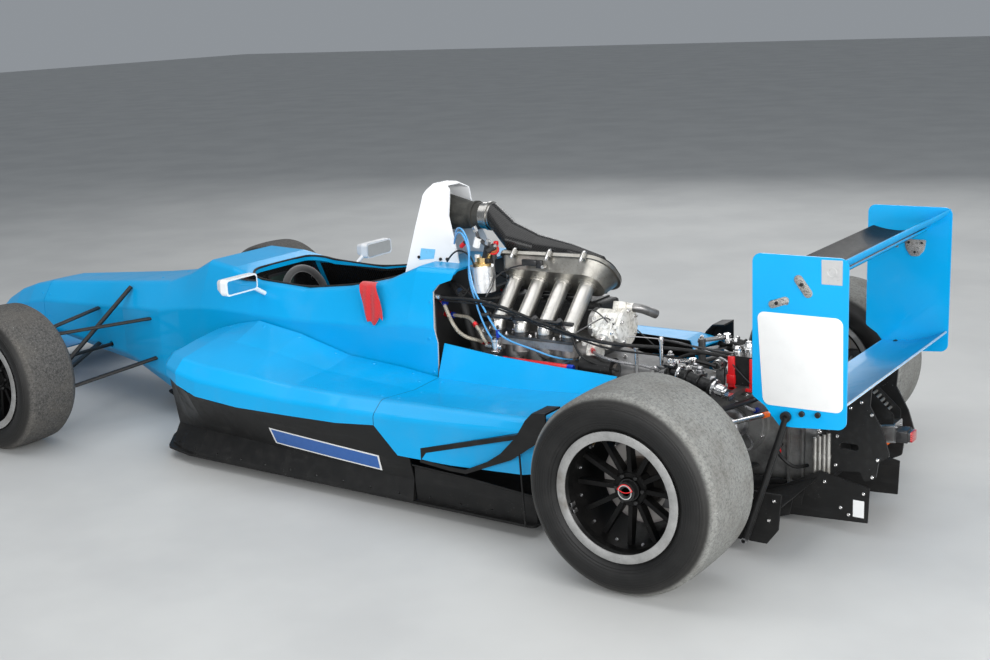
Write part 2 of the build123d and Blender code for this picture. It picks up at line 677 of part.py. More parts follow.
def plenum():
    """The cast inlet plenum: a leaning D-shaped box with a bolted flange round its top."""
    base = leaning(PLENUM_BASE) * outline_face(
        leaning_outline(PLENUM_FRONT - 25, PLENUM_REAR + 37, 63, 63), [16, 16, 52, 52])
    brim = leaning(PLENUM_FLANGE) * outline_face(
        leaning_outline(PLENUM_FRONT - 10, PLENUM_REAR + 10, 74, 88), [16, 16, 68, 68])
    body = loft([base, brim], ruled=True)
    flange = extrude(leaning(PLENUM_FLANGE) * outline_face(
        leaning_outline(PLENUM_FRONT, PLENUM_REAR, 82, 98), [16, 16, 78, 78]), PLENUM_FLANGE_THICKNESS)
    for station, side in PLENUM_LUGS:
        half = 82 + 16 * (PLENUM_FRONT - station) / (PLENUM_FRONT - PLENUM_REAR)
        lug = leaning(PLENUM_FLANGE - 8) * Pos(station, PLENUM_MIDDLE + side * half, 0) * Cylinder(
            12, PLENUM_FLANGE_THICKNESS + 8, align=(Align.CENTER, Align.CENTER, Align.MIN))
        flange = flange + lug
    return body + flange


DUCT_SECTIONS = [
    # station, low edge, high edge, base, top, corner
    (DUCT_FRONT, 562, 652, 562, 652, 44),
    (PLENUM_FRONT - 27, 452, 612, 497, 604, 38),
    (760, 405, 586, 497, 574, 30),
    (620, 402, 580, 497, 544, 20),
    (PLENUM_REAR + 34, 424, 556, 497, 514, 7),
]


def duct():
    """The carbon duct: from a round mouth it spreads and flattens over the plenum."""
    lid_low = PLENUM_FLANGE + PLENUM_FLANGE_THICKNESS
    lid = extrude(leaning(lid_low) * outline_face(
        leaning_outline(PLENUM_FRONT - 3, PLENUM_REAR + 3, 79, 95), [16, 16, 75, 75]), 6)
    hump = loft([leaning_section(*row) for row in reversed(DUCT_SECTIONS)], ruled=True)
    return seated(lid + hump, "intake_filter")


# Engine bay

def engine():
    """Block with its sump, head with ports, castings and exhaust, cam cover and inlet pipes."""
    low = block((ENGINE_REAR, -120, 125), (TUB_REAR, 122, BLOCK_TOP))
    sump = flat_plate([(ENGINE_REAR, -104), (TUB_REAR - 10, -104), (TUB_REAR - 10, 106),
                       (ENGINE_REAR, 106)], RIDE_HEIGHT + 30, 125, corner=22)
    nose = block((TUB_REAR, -100, 110), (BULKHEAD, 100, BLOCK_TOP + 10))
    ribs = [block((x, 122, 150), (x + 7, 134, BLOCK_TOP - 30)) for x in RUNNER_STATIONS]
    flange = across(ENGINE_REAR, [(-150, 95), (150, 95), (165, 200), (150, 330), (110, BLOCK_TOP),
                                  (-110, BLOCK_TOP), (-150, 330), (-165, 200)], corner=24)
    pump = rod((925, 122, 330), (925, 168, 330), 34) + rod((925, 150, 330), (925, 150, 398), 15)
    pulley = rod((BULKHEAD - 22, 60, 300), (BULKHEAD - 10, 60, 300), 48)
    write("engine_block", low + sump + nose + ribs + extrude(flange, 14) + pump + pulley)
    head = block((ENGINE_REAR + 12, -112, BLOCK_TOP), (950, 130, HEAD_TOP))
    head = fillet(head.edges().filter_by(Axis.X).group_by(Axis.Z)[-1], 14)
    shelf = block((RUNNER_STATIONS[-1] - 34, 125, SHELF_TOP - 22),
                  (RUNNER_STATIONS[0] + 30, 196, SHELF_TOP))
    for station in RUNNER_STATIONS:
        shelf = shelf + Pos(station, 160, SHELF_TOP - 46) * Cylinder(
            31, 46, align=(Align.CENTER, Align.CENTER, Align.MIN))
        shelf = shelf + rod((station, 120, SHELF_TOP - 40), (station, 160, SHELF_TOP - 40), 26)
    cap = rod((ENGINE_REAR - 30, 120, 455), (ENGINE_REAR + 40, 120, 455), 36)
    thermostat = rod((392, 62, 535), (ENGINE_REAR + 14, 62, 535), 52)
    thermostat = thermostat + rod((392, 62, 535), (404, 62, 535), 62)
    thermostat = thermostat + rod((ENGINE_REAR - 55, 62, 535), (ENGINE_REAR - 55, 128, 500), 27)
    thermostat = thermostat + rod((430, 62, 535), (430, 40, 610), 24)
    thermostat = thermostat + hose([(430, 45, 592), (375, 20, 592), (345, -40, 560)], 15)
    ports = []
    for station in RUNNER_STATIONS:
        ports.append(hose([(station, -104, 440), (station, -186, 428), (480, -200, 258)], 16))
    collector = rod((486, -200, 262), (430, -200, 246), 30) + rod((440, -200, 249), (385, -200, 233), 26)
    collector = collector - rod((432, -200, 246.7), (380, -200, 231.5), 23)
    pieces = head + shelf + cap + thermostat
    for port in ports:
        pieces = pieces + (port - drawn["engine_block"])
    write("cylinder_head", pieces + collector)
    cover = block((ENGINE_REAR + 22, -108, HEAD_TOP), (940, 25, COVER_TOP))
    cover = fillet(cover.edges().group_by(Axis.Z)[-1], 12)
    filler = rod((900, -60, COVER_TOP - 2), (900, -60, COVER_TOP + 22), 26)
    ribs = [block((x - 4, -100, COVER_TOP - 6), (x + 4, 14, COVER_TOP + 5)) for x in RUNNER_STATIONS]
    post = block((882, -6, COVER_TOP - 8), (906, 22, 632)) + block((882, -6, 620), (906, 150, 632))
    canister = rod((894, 150, 630), (894, 150, 716), 42) + rod((894, 150, 715), (894, 150, 726), 30)
    canister = canister + rod((894, 150, 725), (894, 150, 744), 18)
    write("cam_cover", cover + filler + ribs + post + canister)
    write("plenum", plenum())
    tilt = math.sqrt(0.5)
    start = ((PLENUM_MIDDLE - PLENUM_BASE) * tilt, (PLENUM_MIDDLE + PLENUM_BASE) * tilt)
    outlet = 160
    pipes = block((RUNNER_STATIONS[-1] - 30, 130, SHELF_TOP), (RUNNER_STATIONS[0] + 28, 192, SHELF_TOP + 8))
    for station in RUNNER_STATIONS:
        top = (station, start[0], start[1])
        pipes = pipes + hose([top, (station, outlet, sum(start) - outlet),
                              (station, outlet, SHELF_TOP + 4)], RUNNER_RADIUS)
        pipes = pipes + rod(top, (station, start[0] + 6, start[1] - 6), RUNNER_RADIUS + 6)
        pipes = pipes + Pos(station, outlet, SHELF_TOP) * Cylinder(
            RUNNER_RADIUS + RUNNER_RING, 16, align=(Align.CENTER, Align.CENTER, Align.MIN))
    write("intake_runners", pipes)
    write("airbox_duct", duct())


def hoses():
    """Hoses and the wiring between the cell, the engine and the gearbox."""
    lines = [
        # radius, route
        (7, [(BULKHEAD, 196, 628), (1028, 200, 585), (1010, 200, 525), (978, 200, 486), (925, 200, 470),
             (892, 190, 470), (880, 168, 455), (878, 128, 445)]),
        (7, [(BULKHEAD, 168, 540), (985, 172, 535), (938, 180, 545), (905, 192, 520), (893, 205, 498)]),
        (13, [(BULKHEAD, 118, 640), (1000, 140, 618), (972, 150, 560), (960, 150, 500), (940, 150, 440),
              (927, 150, 398)]),
        (3.5, [(966, 48, 858), (950, 120, 850), (944, 190, 826), (917, 200, 780), (916, 200, 736),
               (927, 200, 691), (912, 200, 641), (880, 200, 596), (846, 205, 550), (812, 210, 512)]),
        (3.5, [(984, 48, 858), (966, 128, 852), (958, 200, 822), (932, 212, 780), (930, 212, 736),
               (940, 212, 691), (925, 212, 641), (893, 212, 592), (858, 212, 545), (798, 212, 487),
               (723, 212, 452), (615, 212, 438), (560, 190, 436), (520, 160, 436)]),
        (6, [(BULKHEAD, 226, 600), (979, 226, 592), (880, 222, 584), (796, 220, 574), (680, 218, 550),
             (566, 214, 522), (419, 200, 503), (276, 168, 509), (150, 120, 494), (30, 76, 476)]),
    ]
    made = []
    for radius, route in lines:
        made.append(seated(hose(route, radius), "tub", "intake_filter", "engine_block", "cylinder_head",
                           "gearbox"))
    valve = rod((812, 210, 440), (812, 210, 486), 17) + rod((812, 210, 486), (812, 210, 506), 8)
    valve = valve + rod((790, 210, 458), (846, 210, 458), 9) + rod((812, 210, 455), (812, 186, 455), 9)
    valve = seated(valve, "cylinder_head")
    return [made[0], made[1], made[2], made[3] + valve - made[4], made[4], made[5]]


GEARBOX_SECTIONS = [
    # station, half width, low z, high z, corner
    (GEARBOX_REAR, 74, 105, 288, 30),
    (-120, 86, 105, 338, 36),
    (0, 94, 105, 372, 40),
    (120, 98, 105, 384, 40),
    (BELL_REAR, 110, 110, 400, 50),
]


def cross_box(station, half, low, high, corner):
    """A rounded section across the car at a station."""
    return across(station, [(-half, low), (half, low), (half, high), (-half, high)], corner)


def bell_and_gearbox():
    """Bell housing, gearbox with its final drive, flanges, ribs and the boxes on top."""
    bell = loft([cross_box(BELL_REAR, 110, 110, 400, 50), cross_box(ENGINE_REAR, 150, 100, 420, 60)],
                ruled=True)
    bell = bell + extrude(cross_box(BELL_REAR, 118, 102, 408, 54), 10)
    starter = rod((386, 168, 418), (ENGINE_REAR, 168, 418), 38) + rod((374, 168, 418), (388, 168, 418), 22)
    starter = starter + block((420, 100, 370), (470, 170, 420))
    for foot_x, foot_top in ((295, 498), (219, 545)):
        bell = bell + rod((foot_x + 12, 168, foot_top), (foot_x + 12, 168, 396), 6)
        bell = bell + rod((foot_x + 12, 172, 400), (foot_x + 12 + 30 * (foot_x < 250), 96, 380), 6)
    bell = max((bell + starter).solids(), key=lambda solid: solid.volume)
    write("bell_housing", seated(bell, "engine_block", "cylinder_head"))
    case = loft([cross_box(*row) for row in GEARBOX_SECTIONS], ruled=True)
    case = case + extrude(cross_box(BELL_REAR - 10, 118, 102, 408, 54), 10)
    case = case + extrude(cross_box(GEARBOX_REAR, 84, 95, 298, 30), 12)
    case = case + [block((x, -92, 98), (x + 7, 92, 345)) for x in (-215, -170)]
    diff = Pos(0, 0, REAR_TYRE_RADIUS) * Rot(90, 0, 0) * Cylinder(92, 230)
    diff = diff + Pos(0, 0, REAR_TYRE_RADIUS) * Rot(90, 0, 0) * Cylinder(104, 206)
    bore = Pos(0, 0, REAR_TYRE_RADIUS) * Rot(90, 0, 0) * Cylinder(
        STUB_RADIUS + RUNNING_CLEARANCE, 400)
    socket = rod((GEARBOX_REAR - 26, 0, STARTER_HEIGHT), (GEARBOX_REAR, 0, STARTER_HEIGHT), 22)
    socket_bore = rod((GEARBOX_REAR - 27, 0, STARTER_HEIGHT),
                      (GEARBOX_REAR - 26 + STARTER_BORE_DEPTH, 0, STARTER_HEIGHT), STARTER_BORE_RADIUS)
    box = block((-52, 34, 392), (18, 104, 492)) + block((-44, 40, 350), (10, 92, 396))
    cooler = rod((-92, 60, 340), (-92, 150, 346), 24)
    selector = rod((60, -40, 376), (60, -40, 402), 26) + rod((150, 30, 380), (150, 30, 404), 18)
    case = case + diff + box + cooler + selector + socket - bore - socket_bore
    write("gearbox", case)


def driveshafts():
    """Shafts from the gearbox to the rear hubs, each with its two joints' boots."""
    outer = REAR_TRACK / 2 - KINGPIN_INSET - UPRIGHT_DEPTH / 2 - MOVING_CLEARANCE
    face = 115 + MOVING_CLEARANCE
    shaft = turned([
        (30, 0), (30, STUB_RADIUS), (face, STUB_RADIUS), (face, 48), (face + 14, 48), (face + 14, 42),
        (face + 62, 42), (face + 66, 36), (face + 78, 38), (face + 84, 28), (face + 94, 30),
        (face + 104, 16), (face + 120, 14), (outer - 74, 14), (outer - 66, 18), (outer - 54, 30),
        (outer - 44, 28), (outer - 34, 38), (outer - 24, 36), (outer - 14, 44), (outer, 44), (outer, 0),
    ])
    shaft = Pos(0, 0, REAR_TYRE_RADIUS) * shaft
    write("driveshaft_left", shaft)
    write("driveshaft_right", opposite(shaft))


# Suspension

def caliper(disc_y, hub_face):
    """A brake caliper that straddles the disc behind the axle, with its lug to the upright."""
    inner = -KINGPIN_INSET + UPRIGHT_DEPTH / 2 - 8
    outer = min(disc_y + DISC_THICKNESS / 2 + MOVING_CLEARANCE + 22, hub_face - 34)
    slot = DISC_THICKNESS / 2 + MOVING_CLEARANCE
    body = turned([
        (inner, 88), (inner, CALIPER_RADIUS), (outer, CALIPER_RADIUS), (outer, 88), (disc_y + slot, 88),
        (disc_y + slot, DISC_RADIUS + MOVING_CLEARANCE), (disc_y - slot, DISC_RADIUS + MOVING_CLEARANCE),
        (disc_y - slot, 88),
    ])
    body = body & block((-CALIPER_RADIUS, -200, -52), (0, 200, 52))
    lug = block((-96, inner - 22, -18), (-30, inner + 8, 18))
    return body + lug


def upright(disc_y, hub_face, arm_drop=None):
    """An upright about its wheel's centre: bearing housing, two ears, pins and the caliper."""
    housing = Rot(90, 0, 0) * Cylinder(48, UPRIGHT_DEPTH)
    post = loft([
        Pos(0, 0, -UPRIGHT_HALF_HEIGHT) * Rectangle(48, 44), Rectangle(84, 46),
        Pos(0, 0, UPRIGHT_HALF_HEIGHT) * Rectangle(48, 44),
    ], ruled=True)
    pin = Cylinder(PIN_RADIUS, 2 * (BALL_JOINT_HEIGHT + EYE_HEIGHT / 2 + 3))
    part = housing + post + pin
    if arm_drop is not None:
        top = -arm_drop - EYE_HEIGHT / 2 - MOVING_CLEARANCE
        part = part + block((0, -14, top - 12), (STEERING_ARM + 12, 14, top))
        part = part + Pos(STEERING_ARM, 0, -arm_drop) * Cylinder(TIE_PIN_RADIUS, 2 * EYE_HEIGHT)
    bore = Rot(90, 0, 0) * Cylinder(STUB_RADIUS + RUNNING_CLEARANCE, 2 * UPRIGHT_DEPTH)
    return Pos(0, -KINGPIN_INSET, 0) * (part - bore) + caliper(disc_y, hub_face)


def wishbone(tip, fore, aft):
    """Two streamlined legs from an eye round an upright's pin to the two pick-ups."""
    centre = Vector(*tip)
    legs = []
    for foot in (fore, aft):
        toward = (Vector(*foot) - centre).normalized()
        legs.append(strut(tuple(centre + toward * (EYE_RADIUS - 3)), foot, 28, 13))
    eye = Pos(*tip) * (Cylinder(EYE_RADIUS, EYE_HEIGHT))
    hole = Pos(*tip) * Cylinder(PIN_RADIUS + RUNNING_CLEARANCE, 4 * EYE_HEIGHT)
    return eye + legs[0] + legs[1] - hole


def coil_over(front, rear):
    """A damper with its spring, seats and eye, from its rocker's pin to its rear bracket."""
    line = Vector(*rear) - Vector(*front)
    place = Plane(origin=front, z_dir=line)
    body = place * Cylinder(13, line.length, align=(Align.CENTER, Align.CENTER, Align.MIN))
    spring_from, spring_to, turns = 34, line.length - 46, 8
    core = place * Pos(0, 0, spring_from - 6) * Cylinder(
        21, spring_to - spring_from + 12, align=(Align.CENTER, Align.CENTER, Align.MIN))
    coils = [place * Pos(0, 0, spring_from + (spring_to - spring_from) * (i + 0.5) / turns) * Torus(23, 4)
             for i in range(turns)]
    seats = [place * Pos(0, 0, z) * Cylinder(28, 6) for z in (spring_from - 6, spring_to + 6)]
    cap = place * Pos(0, 0, line.length - 20) * Cylinder(19, 24)
    return body + core + coils + seats + cap


def suspension():
    """Uprights, wishbones, push rods and dampers at the four corners."""
    front_y = FRONT_TRACK / 2 - KINGPIN_INSET
    rear_y = REAR_TRACK / 2 - KINGPIN_INSET
    knuckle = Pos(WHEELBASE, FRONT_TRACK / 2, FRONT_TYRE_RADIUS) * upright(
        FRONT_DISC_OFFSET, FRONT_HUB_FACE, FRONT_TYRE_RADIUS - RACK_HEIGHT)
    write("knuckle_left", knuckle)
    write("knuckle_right", opposite(knuckle))
    carrier = Pos(0, REAR_TRACK / 2, REAR_TYRE_RADIUS) * upright(REAR_DISC_OFFSET, REAR_HUB_FACE)
    write("rear_uprights", carrier, opposite(carrier))
    ends = [
        # end, station, eye y, wheel height, level, foot z, fore foot, fore y, aft foot, aft y
        ("front", WHEELBASE, front_y, FRONT_TYRE_RADIUS, 1, 400, 170, 150, -230, 180),
        ("front", WHEELBASE, front_y, FRONT_TYRE_RADIUS, -1, 252, 200, 130, -260, 160),
        ("rear", 0, rear_y, REAR_TYRE_RADIUS, 1, 362, 330, 90, -70, 70),
        ("rear", 0, rear_y, REAR_TYRE_RADIUS, -1, 150, 350, 90, -60, 70),
    ]
    carriers = {"front": ["tub"], "rear": ["bell_housing", "gearbox"]}
    for end in ("front", "rear"):
        arms = []
        for name, station, eye_y, height, level, foot_z, fore, fore_y, aft, aft_y in ends:
            if name == end:
                tip = (station, eye_y, height + level * BALL_JOINT_HEIGHT)
                arm = wishbone(tip, (station + fore, fore_y, foot_z), (station + aft, aft_y, foot_z))
                arms.append(seated(arm, *carriers[end]))
        write(f"{end}_wishbones", *arms, *[opposite(arm) for arm in arms])
    push = rod((WHEELBASE + 2, front_y - 62, FRONT_TYRE_RADIUS - 96), (WHEELBASE - 30, 150, 500), 9)
    push = seated(push, "tub", "front_wishbones")
    write("front_pushrods", push, opposite(push))
    damper = coil_over((ROCKER_STATION - 40, 200, 448), (-24, 220, 408))
    bracket = block((-34, 84, 356), (-16, 112, 392)) + block((-34, 84, 386), (-14, 224, 400))
    rocker = flat_plate([(ROCKER_STATION + 22, 96), (ROCKER_STATION + 30, 122), (ROCKER_STATION - 14, 206),
                         (ROCKER_STATION - 52, 212), (ROCKER_STATION - 52, 188)], 0, 6, corner=6)
    pivot = rod((ROCKER_STATION + 12, 112, 372), (ROCKER_STATION + 12, 112, 474), 12)
    pivot = pivot + block((ROCKER_STATION - 8, 70, 366), (ROCKER_STATION + 32, 124, 390))
    damper = damper + bracket + Pos(0, 0, 462) * rocker + Pos(0, 0, 430) * rocker + pivot
    damper = seated(damper, "gearbox", "bell_housing", "rear_wishbones")
    write("rear_dampers", damper, opposite(damper))
    push = rod((10, rear_y - 62, REAR_TYRE_RADIUS - 96), (ROCKER_STATION - 20, 176, 448), 9)
    push = seated(push, "rear_wishbones", "rear_dampers")
    write("rear_pushrods", push, opposite(push))


# Rear wing, its supports and the diffuser

def rear_wing():
    """Two upper elements and a beam wing between end plates, on two support plates."""
    inner = WING_HALF_SPAN - ENDPLATE_THICKNESS
    main = wing(aerofoil((WING_FRONT - 12, 812), (-412, 824), 22, 24), inner)
    flap = wing(aerofoil((-396, 840), (WING_REAR + 4, 882), 8, 12), inner)
    beam = wing(aerofoil((-262, 438), (WING_REAR + 2, 492), 20, 20), inner)
    end = upright_plate([
        (WING_FRONT, WING_TOP), (WING_FRONT, 489), (-247, 464), (-291, 410), (WING_REAR, 425),
        (WING_REAR, WING_TOP),
    ], inner, WING_HALF_SPAN, corner=[24, 12, 12, 12, 24, 24])
    for start, finish in (((-338, 826), (-370, 784)), ((-268, 749), (-305, 763))):
        end = end - plate_slot(start, finish, 5)
    tab = rod((-311, inner - 14, 440), (-311, inner + 2, 440), 9)
    stay = rod((-311, inner - 9, 440), (-180, 418, 52), 6)
    end = end + tab + stay
    write("rear_wing_main", main)
    write("rear_wing_flap", flap)
    write("beam_wing", beam)
    plate = end - beam
    write("rear_wing_endplates", plate, opposite(plate))
    low, high = SUPPORT_HALF_GAP, SUPPORT_HALF_GAP + SUPPORT_THICKNESS
    support = upright_plate([
        (GEARBOX_REAR - 12, 110), (GEARBOX_REAR - 12, 300), (-306, 330), (-316, 470), (-430, 470),
        (-424, 392), (-462, 322), (-485, 250), (-452, 225), (-446, 178), (-412, 160), (-400, 190), (-330, 182),
    ], low, high, corner=[6, 12, 20, 2, 2, 14, 20, 12, 10, 8, 8, 8, 20])
    slot = Pos(-365, (low + high) / 2, 262) * Rot(90, 0, 0) * extrude(
        SlotOverall(58, 20), SUPPORT_THICKNESS, both=True)
    support = support - slot
    web = block((GEARBOX_REAR - 24, -high, 120), (GEARBOX_REAR - 12, high, 288))
    web = web - rod((GEARBOX_REAR - 30, 0, STARTER_HEIGHT), (GEARBOX_REAR, 0, STARTER_HEIGHT), 28)
    crash = loft([cross_box(-470, 36, 262, 322, 10),
                  cross_box(GEARBOX_REAR - 14, 52, 238, 288, 12)], ruled=True)
    fins = [block((x, -50, 236), (x + 5, 50, 326)) for x in (-420, -400, -380, -360, -340)]
    fins = [fin & cross_extent(-430, -320, 48, 250, 328) for fin in fins]
    bar = Pos(REAR_BAR_STATION, 0, REAR_BAR_HEIGHT) * Rot(90, 0, 0) * Cylinder(
        REAR_BAR_RADIUS, 2 * low)
    carrier = support + opposite(support) + web + crash + fins + bar
    carrier = carrier - drawn["beam_wing"]
    write("wing_supports", max(carrier.solids(), key=lambda solid: solid.volume))
    light = extrude(cross_box(-REAR_OVERHANG, 40, 256, 328, 12), REAR_OVERHANG - 470)
    write("rear_light", light)


def plate_slot(start, finish, half):
    """A round-ended slot through an end plate, from one (x, z) point to another."""
    middle = [(a + b) / 2 for a, b in zip(start, finish)]
    tilt = math.degrees(math.atan2(finish[1] - start[1], finish[0] - start[0]))
    slot = SlotCenterToCenter(math.dist(start, finish), 2 * half)
    through = extrude(slot, 2 * ENDPLATE_THICKNESS, both=True)
    return Pos(middle[0], WING_HALF_SPAN, middle[1]) * Rot(90, -tilt, 0) * through


def cross_extent(rear, front, half, low, high):
    """The space in which the fins of the crash box stand."""
    return extrude(cross_box(rear, half, low, high, 8), front - rear)


def diffuser():
    """Two upswept tunnels behind the axle, a lower middle, fences and outer strakes."""
    tunnel = upright_plate([(150, RIDE_HEIGHT), (-60, 60), (-272, 150), (-276, 158), (-62, 70),
                            (150, TRAY_TOP)], 138, 400)
    middle = upright_plate([(150, RIDE_HEIGHT), (-175, 70), (-175, 78), (150, TRAY_TOP)], -132, 132)
    outer = upright_plate([(150, RIDE_HEIGHT), (-233, 39), (-266, 84), (-275, 191), (-170, 191),
                           (150, 60)], 400, 408)
    fence = upright_plate([(150, RIDE_HEIGHT), (-60, 20), (-430, 42), (-434, 150), (-283, 181),
                           (-174, 120), (150, TRAY_TOP)], 132, 138)
    vanes = [upright_plate([(60, 45), (-60, 62), (-272, 152), (-262, 100), (-120, 48)], y, y + 4)
             for y in (222, 312)]
    side = tunnel + outer + fence + vanes
    return side + middle + opposite(side)


# Steering, cockpit and small pieces

def steering():
    """Wheel, column and the rack with its tie rods."""
    centre = (STEERING_WHEEL_STATION, 0, STEERING_WHEEL_HEIGHT)
    foot = (WHEELBASE + STEERING_ARM - 60, 0, RACK_HEIGHT + 14)
    direction = (Vector(*foot) - Vector(*centre)).normalized()
    face = Plane(origin=centre, x_dir=(0, 1, 0), z_dir=direction)
    ring = face * Torus(STEERING_WHEEL_RADIUS - GRIP_RADIUS, GRIP_RADIUS)
    boss = face * Cylinder(42, 24) + face * Pos(0, 0, 14) * Cylinder(26, 26)
    spokes = [face * Rot(0, 0, angle) * Pos((STEERING_WHEEL_RADIUS - GRIP_RADIUS) / 2, 0, 0) * Box(
        STEERING_WHEEL_RADIUS - GRIP_RADIUS, 34, 7) for angle in (0, 180, -90)]
    write("steering_wheel", ring + boss + spokes)
    start = Vector(*centre) + direction * 27
    column = rod(tuple(start), foot, COLUMN_RADIUS)
    write("steering_column", column)
    station = COCKPIT_FRONT + DASH_BEHIND_MOUTH
    panel = extrude(tub_section(cell_row(station), TUB_WALL - 4, 0), 8)
    panel = panel - block((0, -300, 0), (3000, 300, 430))
    hole = rod(tuple(start), foot, COLUMN_RADIUS + RUNNING_CLEARANCE)
    sleeve = rod(tuple(start + direction * 96), tuple(start + direction * 126), COLUMN_RADIUS + 9)
    post = block((station, -14, 390), (station + 8, 14, 440))
    write("dash", seated(panel + sleeve + post - hole, "tub"))
    half = FRONT_TRACK / 2 - KINGPIN_INSET
    place = Pos(WHEELBASE + STEERING_ARM, 0, RACK_HEIGHT)
    eye = Cylinder(EYE_RADIUS, EYE_HEIGHT) - Cylinder(TIE_PIN_RADIUS + MOVING_CLEARANCE, 2 * EYE_HEIGHT)
    reach = half - EYE_RADIUS + 3
    bar = Rot(90, 0, 0) * Cylinder(TIE_ROD_RADIUS - 0.5, 2 * reach)
    bar = bar + Pos(0, half, 0) * eye + Pos(0, -half, 0) * eye
    write("steering_rack", place * bar)
    housing = Pos(WHEELBASE + STEERING_ARM, 0, RACK_HEIGHT) * Rot(90, 0, 0) * (
        Cylinder(24, 150) - Cylinder(TIE_ROD_RADIUS - 0.5 + RUNNING_CLEARANCE, 160))
    write("rack_housing", housing)


def cockpit():
    """Seat with its side bolsters, headrest, mirrors and the belt over the side."""
    pan = [(COCKPIT_REAR + 33, 60), (1720, 60), (1720, 72), (1420, 108), (1352, 300), (1330, 520),
           (COCKPIT_REAR + 33, 520)]
    seat = upright_plate(pan, -168, 168, corner=[2, 2, 2, 60, 60, 10, 4])
    bolster = upright_plate([(COCKPIT_REAR + 33, 60), (1700, 60), (1690, 150), (1500, 210), (1420, 430),
                             (1380, 500), (COCKPIT_REAR + 33, 500)], 152, 168,
                            corner=[2, 2, 40, 60, 60, 30, 4])
    write("seat", seated(seat + bolster + opposite(bolster), "tub"))
    rest = block((COCKPIT_REAR + 6, -100, 556), (COCKPIT_REAR + 44, 100, 640))
    write("headrest", seated(fillet(rest.edges().filter_by(Axis.X), 18), "tub", "roll_hoop_cover"))
    glass = [(310, 596), (468, 596), (468, 656), (310, 656)]
    small = [(326, 606), (448, 606), (448, 648), (326, 648)]
    head = loft([across(1784, glass, 14), across(1812, glass, 14), across(1848, small, 12)], ruled=True)
    stalk = rod((1812, 330, 612), (1812, 240, 560), 8)
    mirror_left = seated(head + stalk, "tub")
    write("mirrors", mirror_left, opposite(mirror_left))
    belt = upright_plate([(1324, 630), (1251, 656), (1214, 534), (1232, 520), (1262, 534), (1284, 500)],
                         286, 300, corner=8)
    fold = block((1258, 240, 640), (1318, 300, 652))
    write("shoulder_belt", seated(belt + fold, "tub"))


write("tub", tub())
write("nose_cone", nose_cone())
front_wing()
write("floor", floor())
tray, rear_tray = side_trays()
write("side_trays", tray, rear_tray, opposite(tray), opposite(rear_tray))
pod = sidepod() - tray - rear_tray - drawn["tub"]
pod = max(pod.solids(), key=lambda solid: solid.volume)
write("sidepod_left", pod)
write("sidepod_right", opposite(pod))
fin = seated(flip_up() - rear_tray - drawn["floor"], "sidepod_left")
write("flip_ups", fin, opposite(fin))
write("roll_hoop_cover", roll_hoop())
intake()
engine()
bell_and_gearbox()
write("hoses", *hoses())
driveshafts()
suspension()
rear_wing()
write("diffuser", diffuser())
steering()
cockpit()
wheels()

os.makedirs("parts", exist_ok=True)
for name, solid in nodes.items():
    export_step(solid, f"parts/{name}.step")
    box = solid.bounding_box()
    print(name, len(solid.solids()), [round(v) for v in (*box.min, *box.max)])
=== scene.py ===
"""Open wheel racing car: finishes and small pieces built round its fixed frame."""

import math

import bmesh
import bpy
from mathutils import Matrix, Vector
from mathutils.bvhtree import BVHTree


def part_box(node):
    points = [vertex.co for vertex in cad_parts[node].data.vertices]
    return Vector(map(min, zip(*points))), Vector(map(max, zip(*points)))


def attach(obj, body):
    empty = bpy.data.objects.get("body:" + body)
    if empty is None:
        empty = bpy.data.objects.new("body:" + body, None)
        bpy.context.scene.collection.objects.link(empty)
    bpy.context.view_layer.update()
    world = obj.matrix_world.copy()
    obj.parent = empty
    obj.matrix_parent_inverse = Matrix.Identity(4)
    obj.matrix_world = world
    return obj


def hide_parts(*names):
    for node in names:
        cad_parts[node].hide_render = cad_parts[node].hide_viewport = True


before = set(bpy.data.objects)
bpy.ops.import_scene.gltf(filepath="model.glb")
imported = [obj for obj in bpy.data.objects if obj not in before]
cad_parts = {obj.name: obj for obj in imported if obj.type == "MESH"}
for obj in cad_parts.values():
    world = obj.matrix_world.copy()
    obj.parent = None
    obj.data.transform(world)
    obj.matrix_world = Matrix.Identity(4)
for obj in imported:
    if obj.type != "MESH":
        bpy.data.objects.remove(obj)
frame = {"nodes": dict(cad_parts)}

bl_info = {
    "name": "Open Wheel Racing Car",
    "version": (1, 0, 0),
    "blender": (4, 5, 0),
    "location": "3D View > Sidebar > Racing car",
    "description": "Finishes and small pieces of an open wheel racing car with its engine cover off",
    "category": "Object",
}

MM = 0.001
REAR_AXLE = -1.615
# Where the finishes change, in metres: ahead of the rear axle, up, to the side, and from a wheel's axis
MOUTH_REAR, MOUTH_FRONT = 1.256, 1.952
POD_SEAM, POD_SEAM_TOP, POD_INNER = 0.99, 0.47, 0.297
LIP_RADIUS = 0.1655
WHEELS = [
    # name, ahead of the rear axle, to the left, tyre radius, rim width, hub face
    ("front_left", 2700, 750, 270, 203, 46),
    ("front_right", 2700, -750, 270, 203, 46),
    ("rear_left", 0, 720, 285, 254, 60),
    ("rear_right", 0, -720, 285, 254, 60),
]


def at(x, y, z):
    """A point given in millimetres: ahead of the rear axle, to the left, and up."""
    return Vector((x * MM + REAR_AXLE, y * MM, z * MM))


# Sizes and colours that a user may change

LENGTH = {"unit": "LENGTH"}
COLOUR = {"subtype": "COLOR", "size": 4, "min": 0, "max": 1}


